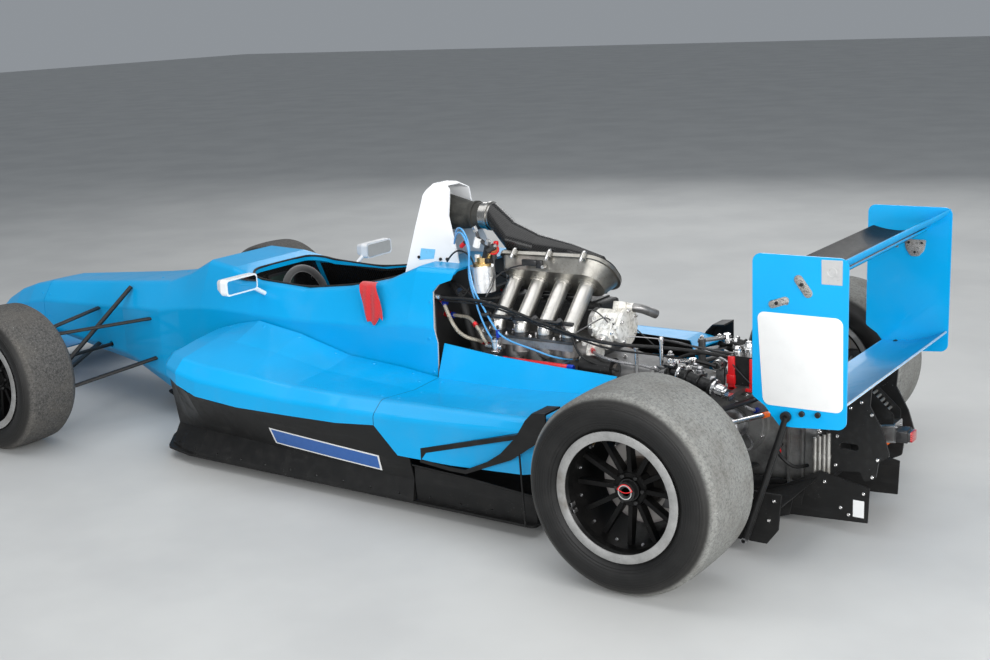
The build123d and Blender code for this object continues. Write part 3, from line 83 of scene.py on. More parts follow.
class CarSizes(bpy.types.PropertyGroup):
    """Sizes of the small pieces."""

    bolt_width: bpy.props.FloatProperty(
        name="Bolt heads", description="Width across the flats of the engine's bolt heads",
        default=0.010, min=0.005, max=0.02, **LENGTH)
    fastener_width: bpy.props.FloatProperty(
        name="Panel fasteners", description="Width of the body panels' round fasteners",
        default=0.013, min=0.006, max=0.025, **LENGTH)
    seam_width: bpy.props.FloatProperty(
        name="Panel seams", description="Width of the dark line where two panels meet",
        default=0.0025, min=0.0005, max=0.006, **LENGTH)
    weave_width: bpy.props.FloatProperty(
        name="Carbon tows", description="Width of one tow in the carbon cloth",
        default=0.0025, min=0.001, max=0.01, **LENGTH)
    strap_width: bpy.props.FloatProperty(
        name="Harness width", description="Width of the harness webbing",
        default=0.05, min=0.04, max=0.08, **LENGTH)


class CarColours(bpy.types.PropertyGroup):
    """Colours of the body and of what is coloured in the engine bay."""

    body: bpy.props.FloatVectorProperty(
        name="Body", description="Paint of the body and wings",
        default=(0.0, 0.350, 0.720, 1), **COLOUR)
    cover: bpy.props.FloatVectorProperty(
        name="Hoop cover", description="Paint of the roll hoop's cover and the mirrors",
        default=(0.84, 0.85, 0.86, 1), **COLOUR)
    patch: bpy.props.FloatVectorProperty(
        name="Panels", description="The bare white panels on the wing's end plates",
        default=(0.74, 0.745, 0.74, 1), **COLOUR)
    webbing: bpy.props.FloatVectorProperty(
        name="Harness", description="The harness and the cloth over the cockpit's side",
        default=(0.60, 0.012, 0.016, 1), **COLOUR)
    bar: bpy.props.FloatVectorProperty(
        name="Lifting bar", description="The bar at the back that a trolley lifts",
        default=(0.85, 0.14, 0.01, 1), **COLOUR)


# Materials

def maths(operation, flip=False):
    """A method of Field that joins it to other values by one Math node."""
    def method(self, *others):
        terms = [self, *others]
        if flip:
            terms.reverse()
        made = self.finish.node("ShaderNodeMath", {"operation": operation}, dict(enumerate(terms)))
        return Field(self.finish, made.outputs[0])
    return method


class Field:
    """A value, colour or direction that varies over a surface."""

    def __init__(self, finish, socket):
        self.finish = finish
        self.socket = socket

    __add__ = __radd__ = maths("ADD")
    __mul__ = __rmul__ = maths("MULTIPLY")
    __sub__, __rsub__ = maths("SUBTRACT"), maths("SUBTRACT", flip=True)
    __truediv__, __mod__ = maths("DIVIDE"), maths("FLOORED_MODULO")
    __lt__, __gt__, __abs__ = maths("LESS_THAN"), maths("GREATER_THAN"), maths("ABSOLUTE")
    floor, sine, root = maths("FLOOR"), maths("SINE"), maths("SQRT")
    most, least = maths("MAXIMUM"), maths("MINIMUM")

    def wave(self, pitch):
        """Even waves from -1 to 1, one in each pitch."""
        return (self * (math.tau / pitch)).sine()

    def between(self, low, high):
        """0 below low and 1 above high, with a smooth step between them."""
        made = self.finish.node(
            "ShaderNodeMapRange", {"interpolation_type": "SMOOTHSTEP"},
            {0: self, 1: low, 2: high, 3: 0.0, 4: 1.0})
        return Field(self.finish, made.outputs[0])


class Finish:
    """One material in the making."""

    def __init__(self, name):
        self.material = bpy.data.materials.new(name)
        self.material.use_nodes = True
        self.tree = self.material.node_tree
        self.tree.nodes.clear()
        self.place = self.field("ShaderNodeTexCoord", out="Object")
        split = self.node("ShaderNodeSeparateXYZ", {}, {0: self.place})
        self.x, self.y, self.z = (Field(self, s) for s in split.outputs)

    def node(self, kind, settings, sockets):
        """One node: its settings first, then the values or links of its sockets."""
        made = self.tree.nodes.new(kind)
        for key, value in settings.items():
            setattr(made, key, value)
        for key, value in sockets.items():
            socket = made.inputs[key]
            if isinstance(value, Field):
                self.tree.links.new(value.socket, socket)
            else:
                socket.default_value = (*value, 1) if socket.type == "RGBA" else value
        return made

    def field(self, kind, settings=None, sockets=None, out=0):
        """One node's output, ready for an expression."""
        return Field(self, self.node(kind, settings or {}, sockets or {}).outputs[out])

    def stretched(self, x, y, z):
        """The place on the surface, stretched along the car's axes."""
        return self.field("ShaderNodeVectorMath", {"operation": "MULTIPLY"},
                          {0: self.place, 1: (x, y, z)})

    def cloud(self, scale, detail=3.0, rough=0.55, place=None):
        """Soft noise from 0 to 1, with a scale in cycles a metre."""
        return self.field("ShaderNodeTexNoise", {"noise_dimensions": "3D"},
                          {"Vector": place or self.place, "Scale": scale, "Detail": detail,
                           "Roughness": rough})

    def cells(self, scale, feature="F1", place=None):
        """The distance to the nearest of many scattered points."""
        return self.field("ShaderNodeTexVoronoi", {"feature": feature},
                          {"Vector": place or self.place, "Scale": scale}, "Distance")

    def mixed(self, share, first, second):
        """A colour between two colours."""
        made = self.node("ShaderNodeMix", {"data_type": "RGBA"}, {0: share, 6: first, 7: second})
        return Field(self, made.outputs[2])

    def layers(self, base, *layers):
        """A colour with others laid over it in turn, each by its share."""
        for share, colour in layers:
            base = self.mixed(share, base, colour)
        return base

    def radius(self, x, z):
        """The distance from a wheel's axis."""
        across = self.x - x
        up = self.z - z
        return (across * across + up * up).root()

    def bumped(self, height, strength, depth, under=None):
        """The surface's direction with a relief, over another relief where one is given."""
        sockets = {"Height": height, "Strength": strength, "Distance": depth}
        if under:
            sockets["Normal"] = under
        return self.field("ShaderNodeBump", {}, sockets)

    def surface(self, colour, rough, metal=0.0, normal=None, coat=0.0, coat_rough=0.05, sheen=0.0,
                shine=0.5):
        """One surface of the material."""
        sockets = {"Base Color": colour, "Roughness": rough, "Metallic": metal, "Coat Weight": coat,
                   "Coat Roughness": coat_rough, "Specular IOR Level": shine}
        if sheen:
            sockets["Sheen Weight"] = sheen
        if normal:
            sockets["Normal"] = normal
        return self.field("ShaderNodeBsdfPrincipled", {}, sockets)

    def shared(self, share, first, second):
        """Two surfaces, the second where the share is 1."""
        return self.field("ShaderNodeMixShader", {}, {0: share, 1: first, 2: second})

    def ended(self, surface):
        """Ends the material with its surface."""
        self.node("ShaderNodeOutputMaterial", {}, {0: surface})
        return self.material


def grey(value):
    """An even grey."""
    return (value, value, value)


def darker(colour, share, lift=0.0):
    """A colour taken down to a share of itself."""
    return tuple(c * share + lift for c in colour)


def paint(f, colour, seams=True):
    """Gloss paint with a clear coat, faint ripple, handling marks and road dust low down."""
    drift = f.cloud(2.3, 2)
    smear = f.cloud(9, 5, 0.65, f.stretched(0.6, 1, 1.8))
    dust = f.cloud(70, 4, 0.7) * f.cloud(6, 3).between(0.45, 0.72)
    low = 1.0 - f.z.between(0.12, 0.42)
    base = f.layers(
        darker(colour, 0.88), (drift.between(0.3, 0.7), colour),
        ((dust * (0.05 + low * 0.2)).least(0.3), (0.22, 0.22, 0.21)))
    if seams:
        joint = abs(f.x - (REAR_AXLE + POD_SEAM)) < bpy.context.scene.car_sizes.seam_width / 2
        seam = joint * (abs(f.y) > POD_INNER) * (f.z < POD_SEAM_TOP)
        base = f.mixed(seam * 0.9, base, (0.01, 0.012, 0.015))
    scratch = f.cells(55, "DISTANCE_TO_EDGE", f.stretched(0.25, 1, 1)) < 0.006
    scratch = scratch * f.cloud(5, 2).between(0.6, 0.7)
    rough = 0.13 + smear * 0.16 + low * 0.14 + dust * 0.25 + scratch * 0.2
    normal = f.bumped(f.cloud(26, 2), 0.06, 0.004)
    normal = f.bumped(f.cloud(420, 2), 0.025, 0.0006, normal)
    return f.surface(base, rough + 0.10, 0.0, normal, coat=0.22, coat_rough=0.05, shine=0.22)


def black_composite(f, shine=0.36):
    """Satin black composite panels, scuffed, dusty and chipped by stones low down."""
    dust = f.cloud(18, 6, 0.7).between(0.42, 0.78)
    fine = f.cloud(240, 3, 0.6)
    low = 1.0 - f.z.between(0.05, 0.26)
    chips = (f.cells(120) < 0.12) * f.cloud(9, 2).between(0.5, 0.62) * low
    rub = f.cloud(34, 5, 0.7, f.stretched(0.12, 1, 1)).between(0.52, 0.75)
    base = f.layers(
        grey(0.005), (dust * 0.3, (0.030, 0.029, 0.027)), (rub * 0.10, grey(0.08)),
        (chips * 0.5, grey(0.16)))
    rough = shine + dust * 0.24 + fine * 0.08 + low * 0.12
    return f.surface(base, rough, 0.0, f.bumped(fine, 0.12, 0.0008), shine=0.32)


def carbon(f, plane="xy", shine=0.2, gloss=0.3):
    """Lacquered carbon cloth in a two by two twill."""
    tow = bpy.context.scene.car_sizes.weave_width
    across, along = {"xy": (f.x, f.y), "xz": (f.x, f.z), "yz": (f.y, f.z)}[plane]
    twill = (((across / tow).floor() + (along / tow).floor()) % 4.0) < 1.5
    threads = math.tau * 2
    thread = abs((across / tow * threads).sine()) * twill
    thread = thread + abs((along / tow * threads).sine()) * (1.0 - twill)
    drift = f.cloud(5, 3)
    base = f.layers(
        grey(0.004), (twill * 0.9, grey(0.014)), (drift.between(0.5, 0.8) * 0.2, (0.035, 0.034, 0.032)))
    rough = shine + twill * 0.14 + f.cloud(40, 4) * 0.14
    normal = f.bumped(thread, 0.10, 0.0006)
    return f.surface(base, rough, 0.0, normal, coat=gloss, coat_rough=0.08, shine=gloss)


def casting(f, light, dark, metal=0.9, rough=0.42, stain=(0.10, 0.075, 0.05), grain=520.0):
    """Sand-cast metal: grainy, blotched with oil and grime in its hollows."""
    blotch = f.cloud(14, 6, 0.68)
    speck = f.cloud(160, 4, 0.6)
    oil = f.cloud(7.5, 4, 0.6).between(0.52, 0.74)
    grain_height = f.cloud(grain, 3, 0.6)
    pits = f.cells(310)
    base = f.layers(
        dark, (blotch.between(0.25, 0.75), light), (oil * 0.55, stain), ((speck > 0.66) * 0.4, grey(0.03)))
    normal = f.bumped(grain_height, 0.28, 0.0012)
    normal = f.bumped(pits, 0.12, 0.001, normal)
    return f.surface(base, rough + blotch * 0.2 + oil * 0.1 - speck * 0.06, metal, normal)


def corroded_casting(f):
    """Pale cast alloy gone white and powdery."""
    crust = f.cloud(60, 7, 0.72)
    patch = f.cloud(12, 4, 0.6).between(0.35, 0.65)
    base = f.layers(
        (0.42, 0.41, 0.38), (crust.between(0.32, 0.56), (0.90, 0.89, 0.85)),
        (patch * 0.35, (0.50, 0.44, 0.33)))
    rough = 0.48 + crust * 0.34
    normal = f.bumped(crust, 0.5, 0.003)
    normal = f.bumped(f.cells(260), 0.2, 0.0012, normal)
    return f.surface(base, rough, 0.2, normal)


def machined(f, colour, rough=0.24, lines=900.0, along=(1, 1, 1), metal=1.0):
    """Turned or milled metal with fine tool lines and handling marks."""
    tool = f.cloud(lines, 2, 0.5, f.stretched(*along))
    mark = f.cloud(22, 5, 0.65).between(0.45, 0.8)
    base = f.layers(
        colour, (mark * 0.5, darker(colour, 0.55)),
        (f.cloud(130, 3).between(0.62, 0.8) * 0.5, (0.16, 0.12, 0.08)))
    return f.surface(base, rough + mark * 0.2 + tool * 0.08, metal, f.bumped(tool, 0.10, 0.0004))


def satin_black(f, value=0.007):
    """Black enamel on steel, worn to bare metal in small chips."""
    wear = f.cloud(48, 6, 0.7)
    chip = (f.cells(95) < 0.13) * f.cloud(11, 2).between(0.52, 0.66)
    base = f.layers(grey(value), (wear.between(0.45, 0.8) * 0.4, grey(0.03)), (chip * 0.6, grey(0.22)))
    return f.surface(base, 0.33 + wear * 0.2, chip * 0.6, f.bumped(wear, 0.08, 0.0008), shine=0.4)


def rubber(f, value=0.009):
    """Matt rubber, greyed and dusty."""
    bloom = f.cloud(24, 5, 0.65)
    base = f.mixed(bloom.between(0.4, 0.8) * 0.5, grey(value), (0.032, 0.031, 0.029))
    return f.surface(base, 0.5 + bloom * 0.25, 0.0, f.bumped(f.cloud(320, 3), 0.18, 0.0008), shine=0.3)


def enamel(f, colour, rough=0.3, metal=0.0, coat=0.4):
    """A small coloured part, scuffed."""
    wear = f.cloud(90, 5, 0.65)
    base = f.mixed(wear.between(0.5, 0.8) * 0.4, colour, darker(colour, 0.4))
    normal = f.bumped(wear, 0.06, 0.0005)
    return f.surface(base, rough + wear * 0.15, metal, normal, coat=coat, coat_rough=0.12)


def braid(f, colour, dark, pitch=0.0022, metal=0.8):
    """Woven steel or cloth round a hose."""
    weave = ((f.x + f.y + f.z).wave(pitch) * (f.x - f.y + f.z).wave(pitch)).between(-0.4, 0.4)
    grime = f.cloud(30, 4).between(0.4, 0.8)
    base = f.layers(dark, (weave, colour), (grime * 0.45, grey(0.05)))
    return f.surface(base, 0.40 + grime * 0.2, metal, f.bumped(weave, 0.35, 0.0006), shine=0.3)


def tyre_rubber(f, radius, station, driven):
    """A slick tyre: scuffed grey tread with picked-up grit, and black walls with moulded rings."""
    out = f.radius(station, radius)
    tread = out.between(radius - 0.022, radius - 0.010)
    grain = f.cloud(130, 6, 0.75)
    wide = f.cloud(9, 4, 0.6)
    streak = f.cloud(34, 5, 0.7, f.stretched(0.35, 2.6, 0.35))
    grit = (f.cells(210) < 0.17) * f.cloud(48, 3).between(0.44, 0.6)
    pale = (f.cells(95) < 0.10) * f.cloud(21, 3).between(0.5, 0.62)
    pick_up = 0.36 if driven else 0.0
    worn = f.layers(
        (0.030, 0.029, 0.028), (grain.between(0.3, 0.72), (0.125, 0.120, 0.112)),
        (pick_up + grain.between(0.35, 0.6) * pick_up, (0.265, 0.27, 0.255)),
        (wide.between(0.4, 0.75) * 0.5, (0.105, 0.097, 0.085)),
        (streak.between(0.5, 0.8) * 0.35, grey(0.02)), (grit * 0.75, (0.30, 0.28, 0.25)),
        (pale * 0.6, (0.56, 0.56, 0.53)))
    rings = (out.wave(0.0075) > 0.86) * (out > radius * 0.74) * (out < radius * 0.93)
    dusty = f.cloud(14, 5, 0.65).between(0.4, 0.8)
    wall = f.layers(grey(0.005), (dusty * 0.35, (0.020, 0.0195, 0.0185)), (rings * 0.25, grey(0.02)))
    spin_marks = f.cloud(3.2, 4, 0.6).between(0.52, 0.75)
    wall = f.mixed(spin_marks * 0.2, wall, (0.030, 0.029, 0.027))
    base = f.mixed(tread, wall, worn)
    shoulder = out.between(radius - 0.05, radius - 0.02) * (1.0 - tread)
    base = f.mixed(shoulder * grain * 0.3, base, (0.07, 0.066, 0.06))
    rough = 0.44 + dusty * 0.12 + tread * 0.34
    normal = f.bumped(grain * tread + grit * 0.8 + rings * 0.6, 0.35, 0.0018)
    normal = f.bumped(f.cloud(520, 2), 0.12, 0.0006, normal)
    return f.surface(base, rough, 0.0, normal, shine=0.3)


def wheel_metal(f, station, height, half_track, rim_width):
    """A black wheel with its lip turned bright."""
    out = f.radius(station, height)
    side = abs(f.y) - half_track
    lip = (out > LIP_RADIUS) * (side > rim_width / 2 - 0.016)
    back_lip = (out > LIP_RADIUS) * (side < 0.004 - rim_width / 2)
    bright = lip.most(back_lip * 0.6)
    turned = (out * 9000.0).sine()
    dust = f.cloud(38, 5, 0.7).between(0.42, 0.8)
    nick = (f.cells(140) < 0.10) * f.cloud(14, 2).between(0.5, 0.62)
    black = f.layers(grey(0.0035), (dust * 0.3, (0.020, 0.019, 0.018)), (nick * 0.4, grey(0.14)))
    silver = f.mixed(dust * 0.5, grey(0.42), (0.20, 0.20, 0.195))
    base = f.mixed(bright, black, silver)
    rough = 0.36 + dust * 0.16 - bright * 0.10
    return f.surface(base, rough, bright, f.bumped(turned, 0.04, 0.0003), shine=0.12)


def disc_iron(f, station, height):
    """A ground cast-iron disc: bright swept band, dark bell and blued edge."""
    out = f.radius(station, height)
    swept = out.between(0.070, 0.074)
    lines = (out * 5200.0).sine() * 0.5 + 0.5
    stain = f.cloud(16, 5, 0.6)
    base = f.layers(
        (0.10, 0.095, 0.09), (swept, (0.46, 0.44, 0.42)),
        (out.between(0.108, 0.119) * 0.6, (0.16, 0.13, 0.15)),
        (stain.between(0.5, 0.8) * 0.4, (0.22, 0.12, 0.06)))
    rough = 0.36 + stain * 0.25
    return f.surface(base, rough, 0.85, f.bumped(lines, 0.12, 0.0004))


def cloth(f, colour, pitch=0.0016, rough=0.85, sheen=0.3):
    """Plain woven cloth or webbing, with painted shade in darker patches where folds would fall."""
    warp = f.x.wave(pitch) * f.z.wave(pitch) + f.y.wave(pitch) * 0.5
    # Painted shade: darker patches stand in for the shade of folds.
    fold_shade = f.cloud(18, 4)
    base = f.layers(
        colour, (warp.between(-0.8, 0.8) * 0.5, darker(colour, 0.45)),
        (fold_shade.between(0.5, 0.85) * 0.4, darker(colour, 0.6, 0.01)))
    return f.surface(base, rough, 0.0, f.bumped(warp, 0.4, 0.0006), sheen=sheen)


def perforated_tape(f):
    """Crumpled metal tape pressed over a slotted bracket, its creases darkened with painted shade."""
    crumple_and_shade = f.cells(240, "DISTANCE_TO_EDGE").between(0.0, 0.12)
    worn = f.cloud(120, 5, 0.7)
    # Painted shade: the tape is dark along the creases of its crumples.
    base = f.layers(
        (0.10, 0.095, 0.09), (crumple_and_shade, (0.46, 0.45, 0.43)), (worn.between(0.5, 0.75) * 0.6, grey(0.06)))
    return f.surface(base, 0.34 + worn * 0.25, 0.8, f.bumped(crumple_and_shade, 0.5, 0.0015))


def suede(f, value=0.02):
    """Napped hide on the steering wheel's rim, rubbed shiny in places."""
    nap = f.cloud(700, 4, 0.7)
    rubbed = f.cloud(30, 3).between(0.5, 0.75)
    base = f.mixed(nap, grey(value), grey(value * 3))
    return f.surface(base, 0.82 - rubbed * 0.25, 0.0, f.bumped(nap, 0.4, 0.0006), sheen=0.4)


def tail_lens(f):
    """A red lens with rows of small prisms."""
    prisms = f.y.wave(0.006) * f.z.wave(0.006)
    lens = f.x < REAR_AXLE - 0.512
    base = f.layers(
        (0.22, 0.002, 0.004), (prisms.between(-0.3, 0.3), (0.55, 0.01, 0.012)), (1.0 - lens, grey(0.012)))
    return f.surface(base, 0.16 + (1.0 - lens) * 0.3, 0.0, f.bumped(prisms * lens, 0.4, 0.0015),
                     coat=0.8, coat_rough=0.05)


def mirror_glass(f):
    """Silvered glass with smears."""
    smear = f.cloud(60, 4)
    return f.surface(f.mixed(smear * 0.3, (0.75, 0.78, 0.8), (0.45, 0.47, 0.5)),
                     0.03 + smear * 0.06, 1.0)


def radiator_core(f):
    """Thin alloy fins between flat tubes."""
    fins = f.y.wave(0.0024)
    tubes = (f.z.wave(0.011) > 0.55) * 1.0
    dirt = f.cloud(26, 5).between(0.4, 0.8)
    base = f.layers(
        grey(0.03), (fins.between(-0.5, 0.5), (0.42, 0.43, 0.44)), (tubes, (0.55, 0.56, 0.57)),
        (dirt * 0.6, (0.12, 0.10, 0.08)))
    return f.surface(base, 0.5, 0.6, f.bumped(fins + tubes * 2.0, 0.5, 0.0012))


def bare_panel(f, colour):
    """A smooth white panel with faint dust and a few scuffs."""
    dust = f.cloud(30, 5, 0.65)
    scuff = f.cloud(24, 5, 0.7, f.stretched(1, 1, 0.3)).between(0.62, 0.8)
    base = f.layers(
        colour, (dust.between(0.4, 0.8) * 0.12, darker(colour, 0.7)), (scuff * 0.12, (0.40, 0.39, 0.37)))
    return f.surface(base, 0.38 + scuff * 0.2, 0.0, f.bumped(dust, 0.04, 0.0005), shine=0.3)


def pod_and_painted_shade(f, colour):
    """Body paint outside a side pod, and black composite painted on its faces beside the engine as painted
    shade.
    """
    facing = f.node("ShaderNodeSeparateXYZ", {}, {0: f.field("ShaderNodeTexCoord", out="Normal")})
    across, up = (Field(f, facing.outputs[i]) for i in (1, 2))
    # Painted shade: the faces turned toward the engine, and all within 0.2518 of the middle, are black.
    wall = (across * f.y < -0.15) * (abs(up) < 0.6) * (abs(f.y) < 0.305) * (f.x < -0.6) * (f.z > 0.34)
    inside = (abs(f.y) < 0.2518).most(wall)
    return f.shared(inside, paint(f, colour), black_composite(f, 0.4))


def body_and_inside(f, colour):
    """Body paint outside, and bare composite and grey sheet inside the cell."""
    ahead = f.x - REAR_AXLE
    out = abs(f.y)
    low = (0.15 - f.z).most(0.0) * 0.72
    half = 0.284 - (f.z - 0.5).most(0.0) * 0.62 - low - (ahead - 1.8).most(0.0) * 0.08
    deck = 0.640 - (ahead - MOUTH_REAR).least(0.34) * 0.15
    cockpit = (out < half) * (f.z < deck) * (ahead > MOUTH_REAR) * (ahead < MOUTH_FRONT)
    footwell = (out < 0.23) * (f.z < 0.50) * (ahead > 1.95) * (ahead < 2.2)
    skin = 0.284 - (f.z - 0.52).most(0.0) * 0.42 - low
    pocket = (out < skin) * (ahead < 1.056) * (ahead > 0.95) * (f.z < 0.690)
    lining = f.shared(pocket, carbon(f, "xz"), pocket_sheet(f))
    return f.shared(cockpit.most(footwell).most(pocket), paint(f, colour), lining)


def pocket_sheet(f):
    """The cell's back wall: grey at its rim and black and oily behind the tank cover."""
    rim = (abs(f.y) - 0.215).between(0.0, 0.012)
    grime = f.cloud(16, 6, 0.7)
    base = f.layers(
        grey(0.010), (rim, (0.46, 0.46, 0.45)), (grime.between(0.45, 0.75) * 0.35, grey(0.02)))
    return f.surface(base, 0.45 + grime * 0.25, 0.0, f.bumped(grime, 0.15, 0.002))


def head_casting(f):
    """The head: grey castings, a white and corroded housing in front, heat-stained exhaust pipes."""
    ahead = f.x - REAR_AXLE
    front = (ahead > 0.389) * (ahead < 0.497) * (f.y > 0.0) * (f.z > 0.40)
    pipes = f.y < -0.112
    main = casting(f, (0.44, 0.43, 0.42), (0.20, 0.195, 0.19), metal=0.85, rough=0.32)
    heat = f.cloud(7, 4)
    stained = f.mixed(heat.between(0.35, 0.6), (0.30, 0.20, 0.12), (0.22, 0.21, 0.26))
    exhaust = f.surface(stained, 0.34 + heat * 0.2, 0.9)
    return f.shared(front, f.shared(pipes, main, exhaust), corroded_casting(f))


def canister_and_cover(f):
    """The cam cover in black wrinkle paint, and the bright canister with its brass neck."""
    across = f.x - (REAR_AXLE + 0.894)
    off = f.y - 0.150
    canister = ((across * across + off * off).root() < 0.0445) * (f.z > 0.628)
    neck = f.z > 0.717
    wrinkle = f.cloud(260, 3, 0.7)
    cover = f.mixed(wrinkle.between(0.4, 0.7), grey(0.010), grey(0.045))
    black = f.surface(cover, 0.42 + wrinkle * 0.15, 0.1, f.bumped(wrinkle, 0.5, 0.0015))
    bright = machined(f, grey(0.93), 0.26, 90.0, (1, 1, 0.1))
    brass = machined(f, (0.60, 0.43, 0.20), 0.3)
    return f.shared(canister, black, f.shared(neck, bright, brass))


def intake_horn(f):
    """The intake: dull black cloth over the horn, and a turned ring where the duct starts."""
    ring = f.x < REAR_AXLE + 0.982
    cloud = f.cloud(34, 5, 0.65)
    weave = ((f.x * 2600.0).sine() * (f.z * 2600.0).sine()).between(-0.5, 0.5)
    base = f.layers(
        (0.020, 0.020, 0.017), (cloud.between(0.35, 0.7), (0.050, 0.049, 0.042)),
        (weave * 0.4, grey(0.012)))
    horn = f.surface(base, 0.55 + cloud * 0.2, 0.0, f.bumped(weave, 0.3, 0.0008), shine=0.4)
    return f.shared(ring, horn, machined(f, (0.42, 0.41, 0.39), 0.2, 500.0, (1, 0.2, 0.2)))


def runners(f):
    """The runners: brushed pipes above, and a dark cast foot."""
    foot = 1.0 - f.z.between(0.508, 0.512)
    return f.shared(foot, machined(f, (0.62, 0.605, 0.57), 0.30, 240.0, (0.3, 1, 1)),
                    casting(f, grey(0.16), (0.055, 0.055, 0.056), metal=0.8, rough=0.3))


def clutch_housing(f):
    """The bell housing, with the black starter and the bright posts on it."""
    ahead = f.x - REAR_AXLE
    starter = (ahead > 0.384) * (f.y > 0.139) * (f.z > 0.37)
    posts = (ahead < 0.3155) * (f.z > 0.414) * (f.y > 0.150)
    main = casting(f, grey(0.22), grey(0.09), metal=0.7)
    return f.shared(posts, f.shared(starter, main, satin_black(f)), machined(f, grey(0.74), 0.2))


def gear_case(f):
    """The gearbox casting, with the black control box that stands on it."""
    ahead = f.x - REAR_AXLE
    box = (ahead > -0.054) * (ahead < 0.020) * (f.y > 0.032) * (f.y < 0.106) * (f.z > 0.400)
    main = casting(f, (0.30, 0.30, 0.292), (0.13, 0.13, 0.128), metal=0.75)
    return f.shared(box, main, satin_black(f))


def dampers_and_rockers(f):
    """The dampers: black springs and bodies, bright seats and caps, and dark rockers beside them."""
    ahead, out, up = f.x - (REAR_AXLE + 0.165), abs(f.y) - 0.200, f.z - 0.448
    along = 0.1032 * out - 0.9731 * ahead - 0.2059 * up
    off = (ahead * ahead + out * out + up * up - along * along).most(0.0).root()
    seat = abs(along - 0.028) < 0.0045
    cap = along > 0.146
    grime = f.cloud(60, 4)
    base = f.mixed(grime.between(0.4, 0.7), grey(0.012), grey(0.035))
    dark = f.surface(base, 0.3 + grime * 0.2, 0.5, shine=0.4)
    damper = f.shared(seat.most(cap), dark, machined(f, grey(0.78), 0.16))
    rest = casting(f, grey(0.16), grey(0.06), metal=0.7, rough=0.35)
    return f.shared(off < 0.032, rest, damper)


def plates_and_stays(f, colour):
    """The rear wing's end plates in body paint, with black stays and tabs."""
    stay = (abs(f.y) < 0.4495).most(f.z < 0.413)
    return f.shared(stay, paint(f, colour, False), satin_black(f))


def supports_and_bar(f, colour):
    """The wing's black supports with the coloured lifting bar and the bright fins."""
    ahead = f.x - (REAR_AXLE - 0.408)
    up = f.z - 0.222
    bar = ((ahead * ahead + up * up).root() < 0.012) * (abs(f.y) < 0.1115)
    fins = (abs(f.y) < 0.055) * (f.z > 0.2365)
    return f.shared(bar, f.shared(fins, satin_black(f), machined(f, grey(0.5), 0.3)),
                    enamel(f, colour, 0.3))


def wing_blade(f, colour):
    """The main wing in bare carbon with its rear lip in body paint."""
    lip = f.x < REAR_AXLE - 0.400
    return f.shared(lip, carbon(f, "xy", 0.3, 0.04), paint(f, colour, False))


materials = {}


def finish_of(key):
    """A material by the name of its finish, made when it is first used."""
    if key in materials:
        return materials[key]
    colours = bpy.context.scene.car_colours
    body, cover, patch, webbing, bar = (
        tuple(getattr(colours, part))[:3] for part in ("body", "cover", "patch", "webbing", "bar"))
    recipes = {
        "body": (paint, body),
        "cell": (body_and_inside, body),
        "plates": (plates_and_stays, body),
        "blade": (wing_blade, body),
        "supports": (supports_and_bar, bar),
        "cover": (paint, cover, False),
        "panel": (bare_panel, patch),
        "pod": (pod_and_painted_shade, body),
        "composite": (black_composite,),
        "underside": (black_composite, 0.5),
        "carbon_side": (carbon, "xz"),
        "carbon_face": (carbon, "yz"),
        "head": (head_casting,),
        "cam_cover": (canister_and_cover,),
        "horn": (intake_horn,),
        "runners": (runners,),
        "clutch": (clutch_housing,),
        "gear_case": (gear_case,),
        "dampers": (dampers_and_rockers,),
        "dark_casting": (casting, (0.13, 0.13, 0.135), (0.035, 0.035, 0.037), 0.55, 0.5),
        "plenum_alloy": (casting, (0.44, 0.425, 0.385), (0.24, 0.23, 0.21), 0.92, 0.30,
                         (0.17, 0.15, 0.12), 380.0),
        "bright_casting": (casting, (0.50, 0.49, 0.46), (0.24, 0.235, 0.22)),
        "grey_casting": (casting, grey(0.30), grey(0.12)),
        "lip": (casting, (0.34, 0.34, 0.335), (0.21, 0.21, 0.205), 0.3, 0.5),
        "corroded": (corroded_casting,),
        "steel": (machined, (0.50, 0.50, 0.51)),
        "bright_steel": (machined, (0.80, 0.79, 0.78), 0.18),
        "brass": (machined, (0.62, 0.42, 0.16), 0.25),
        "tape": (machined, grey(0.62), 0.38, 60.0),
        "black_paint": (satin_black,),
        "black_fixing": (satin_black, 0.012),
        "rubber": (rubber,),
        "hose_rubber": (rubber, 0.02),
        "cream_braid": (braid, (0.62, 0.57, 0.47), (0.16, 0.14, 0.11), 0.0022, 0.3),
        "steel_braid": (braid, (0.55, 0.55, 0.56), grey(0.06)),
        "grey_braid": (braid, (0.05, 0.052, 0.056), grey(0.008), 0.003, 0.1),
        "loom": (braid, grey(0.010), grey(0.003), 0.003, 0.0),
        "mesh_metal": (perforated_tape,),
        "screen": (enamel, (0.03, 0.05, 0.045), 0.12),
        "rust": (enamel, (0.36, 0.085, 0.018), 0.45),
        "blue_hose": (enamel, (0.07, 0.33, 0.66), 0.35, 0.0, 0.3),
        "red_anodised": (enamel, (0.62, 0.008, 0.014), 0.22, 0.7, 0.3),
        "blue_anodised": (enamel, (0.01, 0.05, 0.48), 0.22, 0.7, 0.3),
        "red": (enamel, (0.62, 0.006, 0.010), 0.32),
        "orange": (enamel, bar, 0.3),
        "white_plastic": (enamel, (0.78, 0.77, 0.74), 0.4),
        "black_plastic": (enamel, (0.008, 0.008, 0.009), 0.42),
        "pale_blue": (enamel, (0.16, 0.50, 0.78), 0.35),
        "blue_film": (enamel, (0.015, 0.10, 0.36), 0.3),
        "webbing": (cloth, webbing, 0.0018),
        "pad": (cloth, grey(0.022), 0.0022),
        "suede": (suede,),
        "lens": (tail_lens,),
        "glass": (mirror_glass,),
        "core": (radiator_core,),
    }
    maker, *values = recipes[key]
    f = Finish(key)
    materials[key] = f.ended(maker(f, *values))
    return materials[key]


def wear(obj, *keys):
    """Puts finishes into an object's material slots, all of them or one for each."""
    slots = obj.data.materials
    if not len(slots):
        for key in keys:
            slots.append(finish_of(key))
        return
    for index in range(len(slots)):
        slots[index] = finish_of(keys[min(index, len(keys) - 1)])


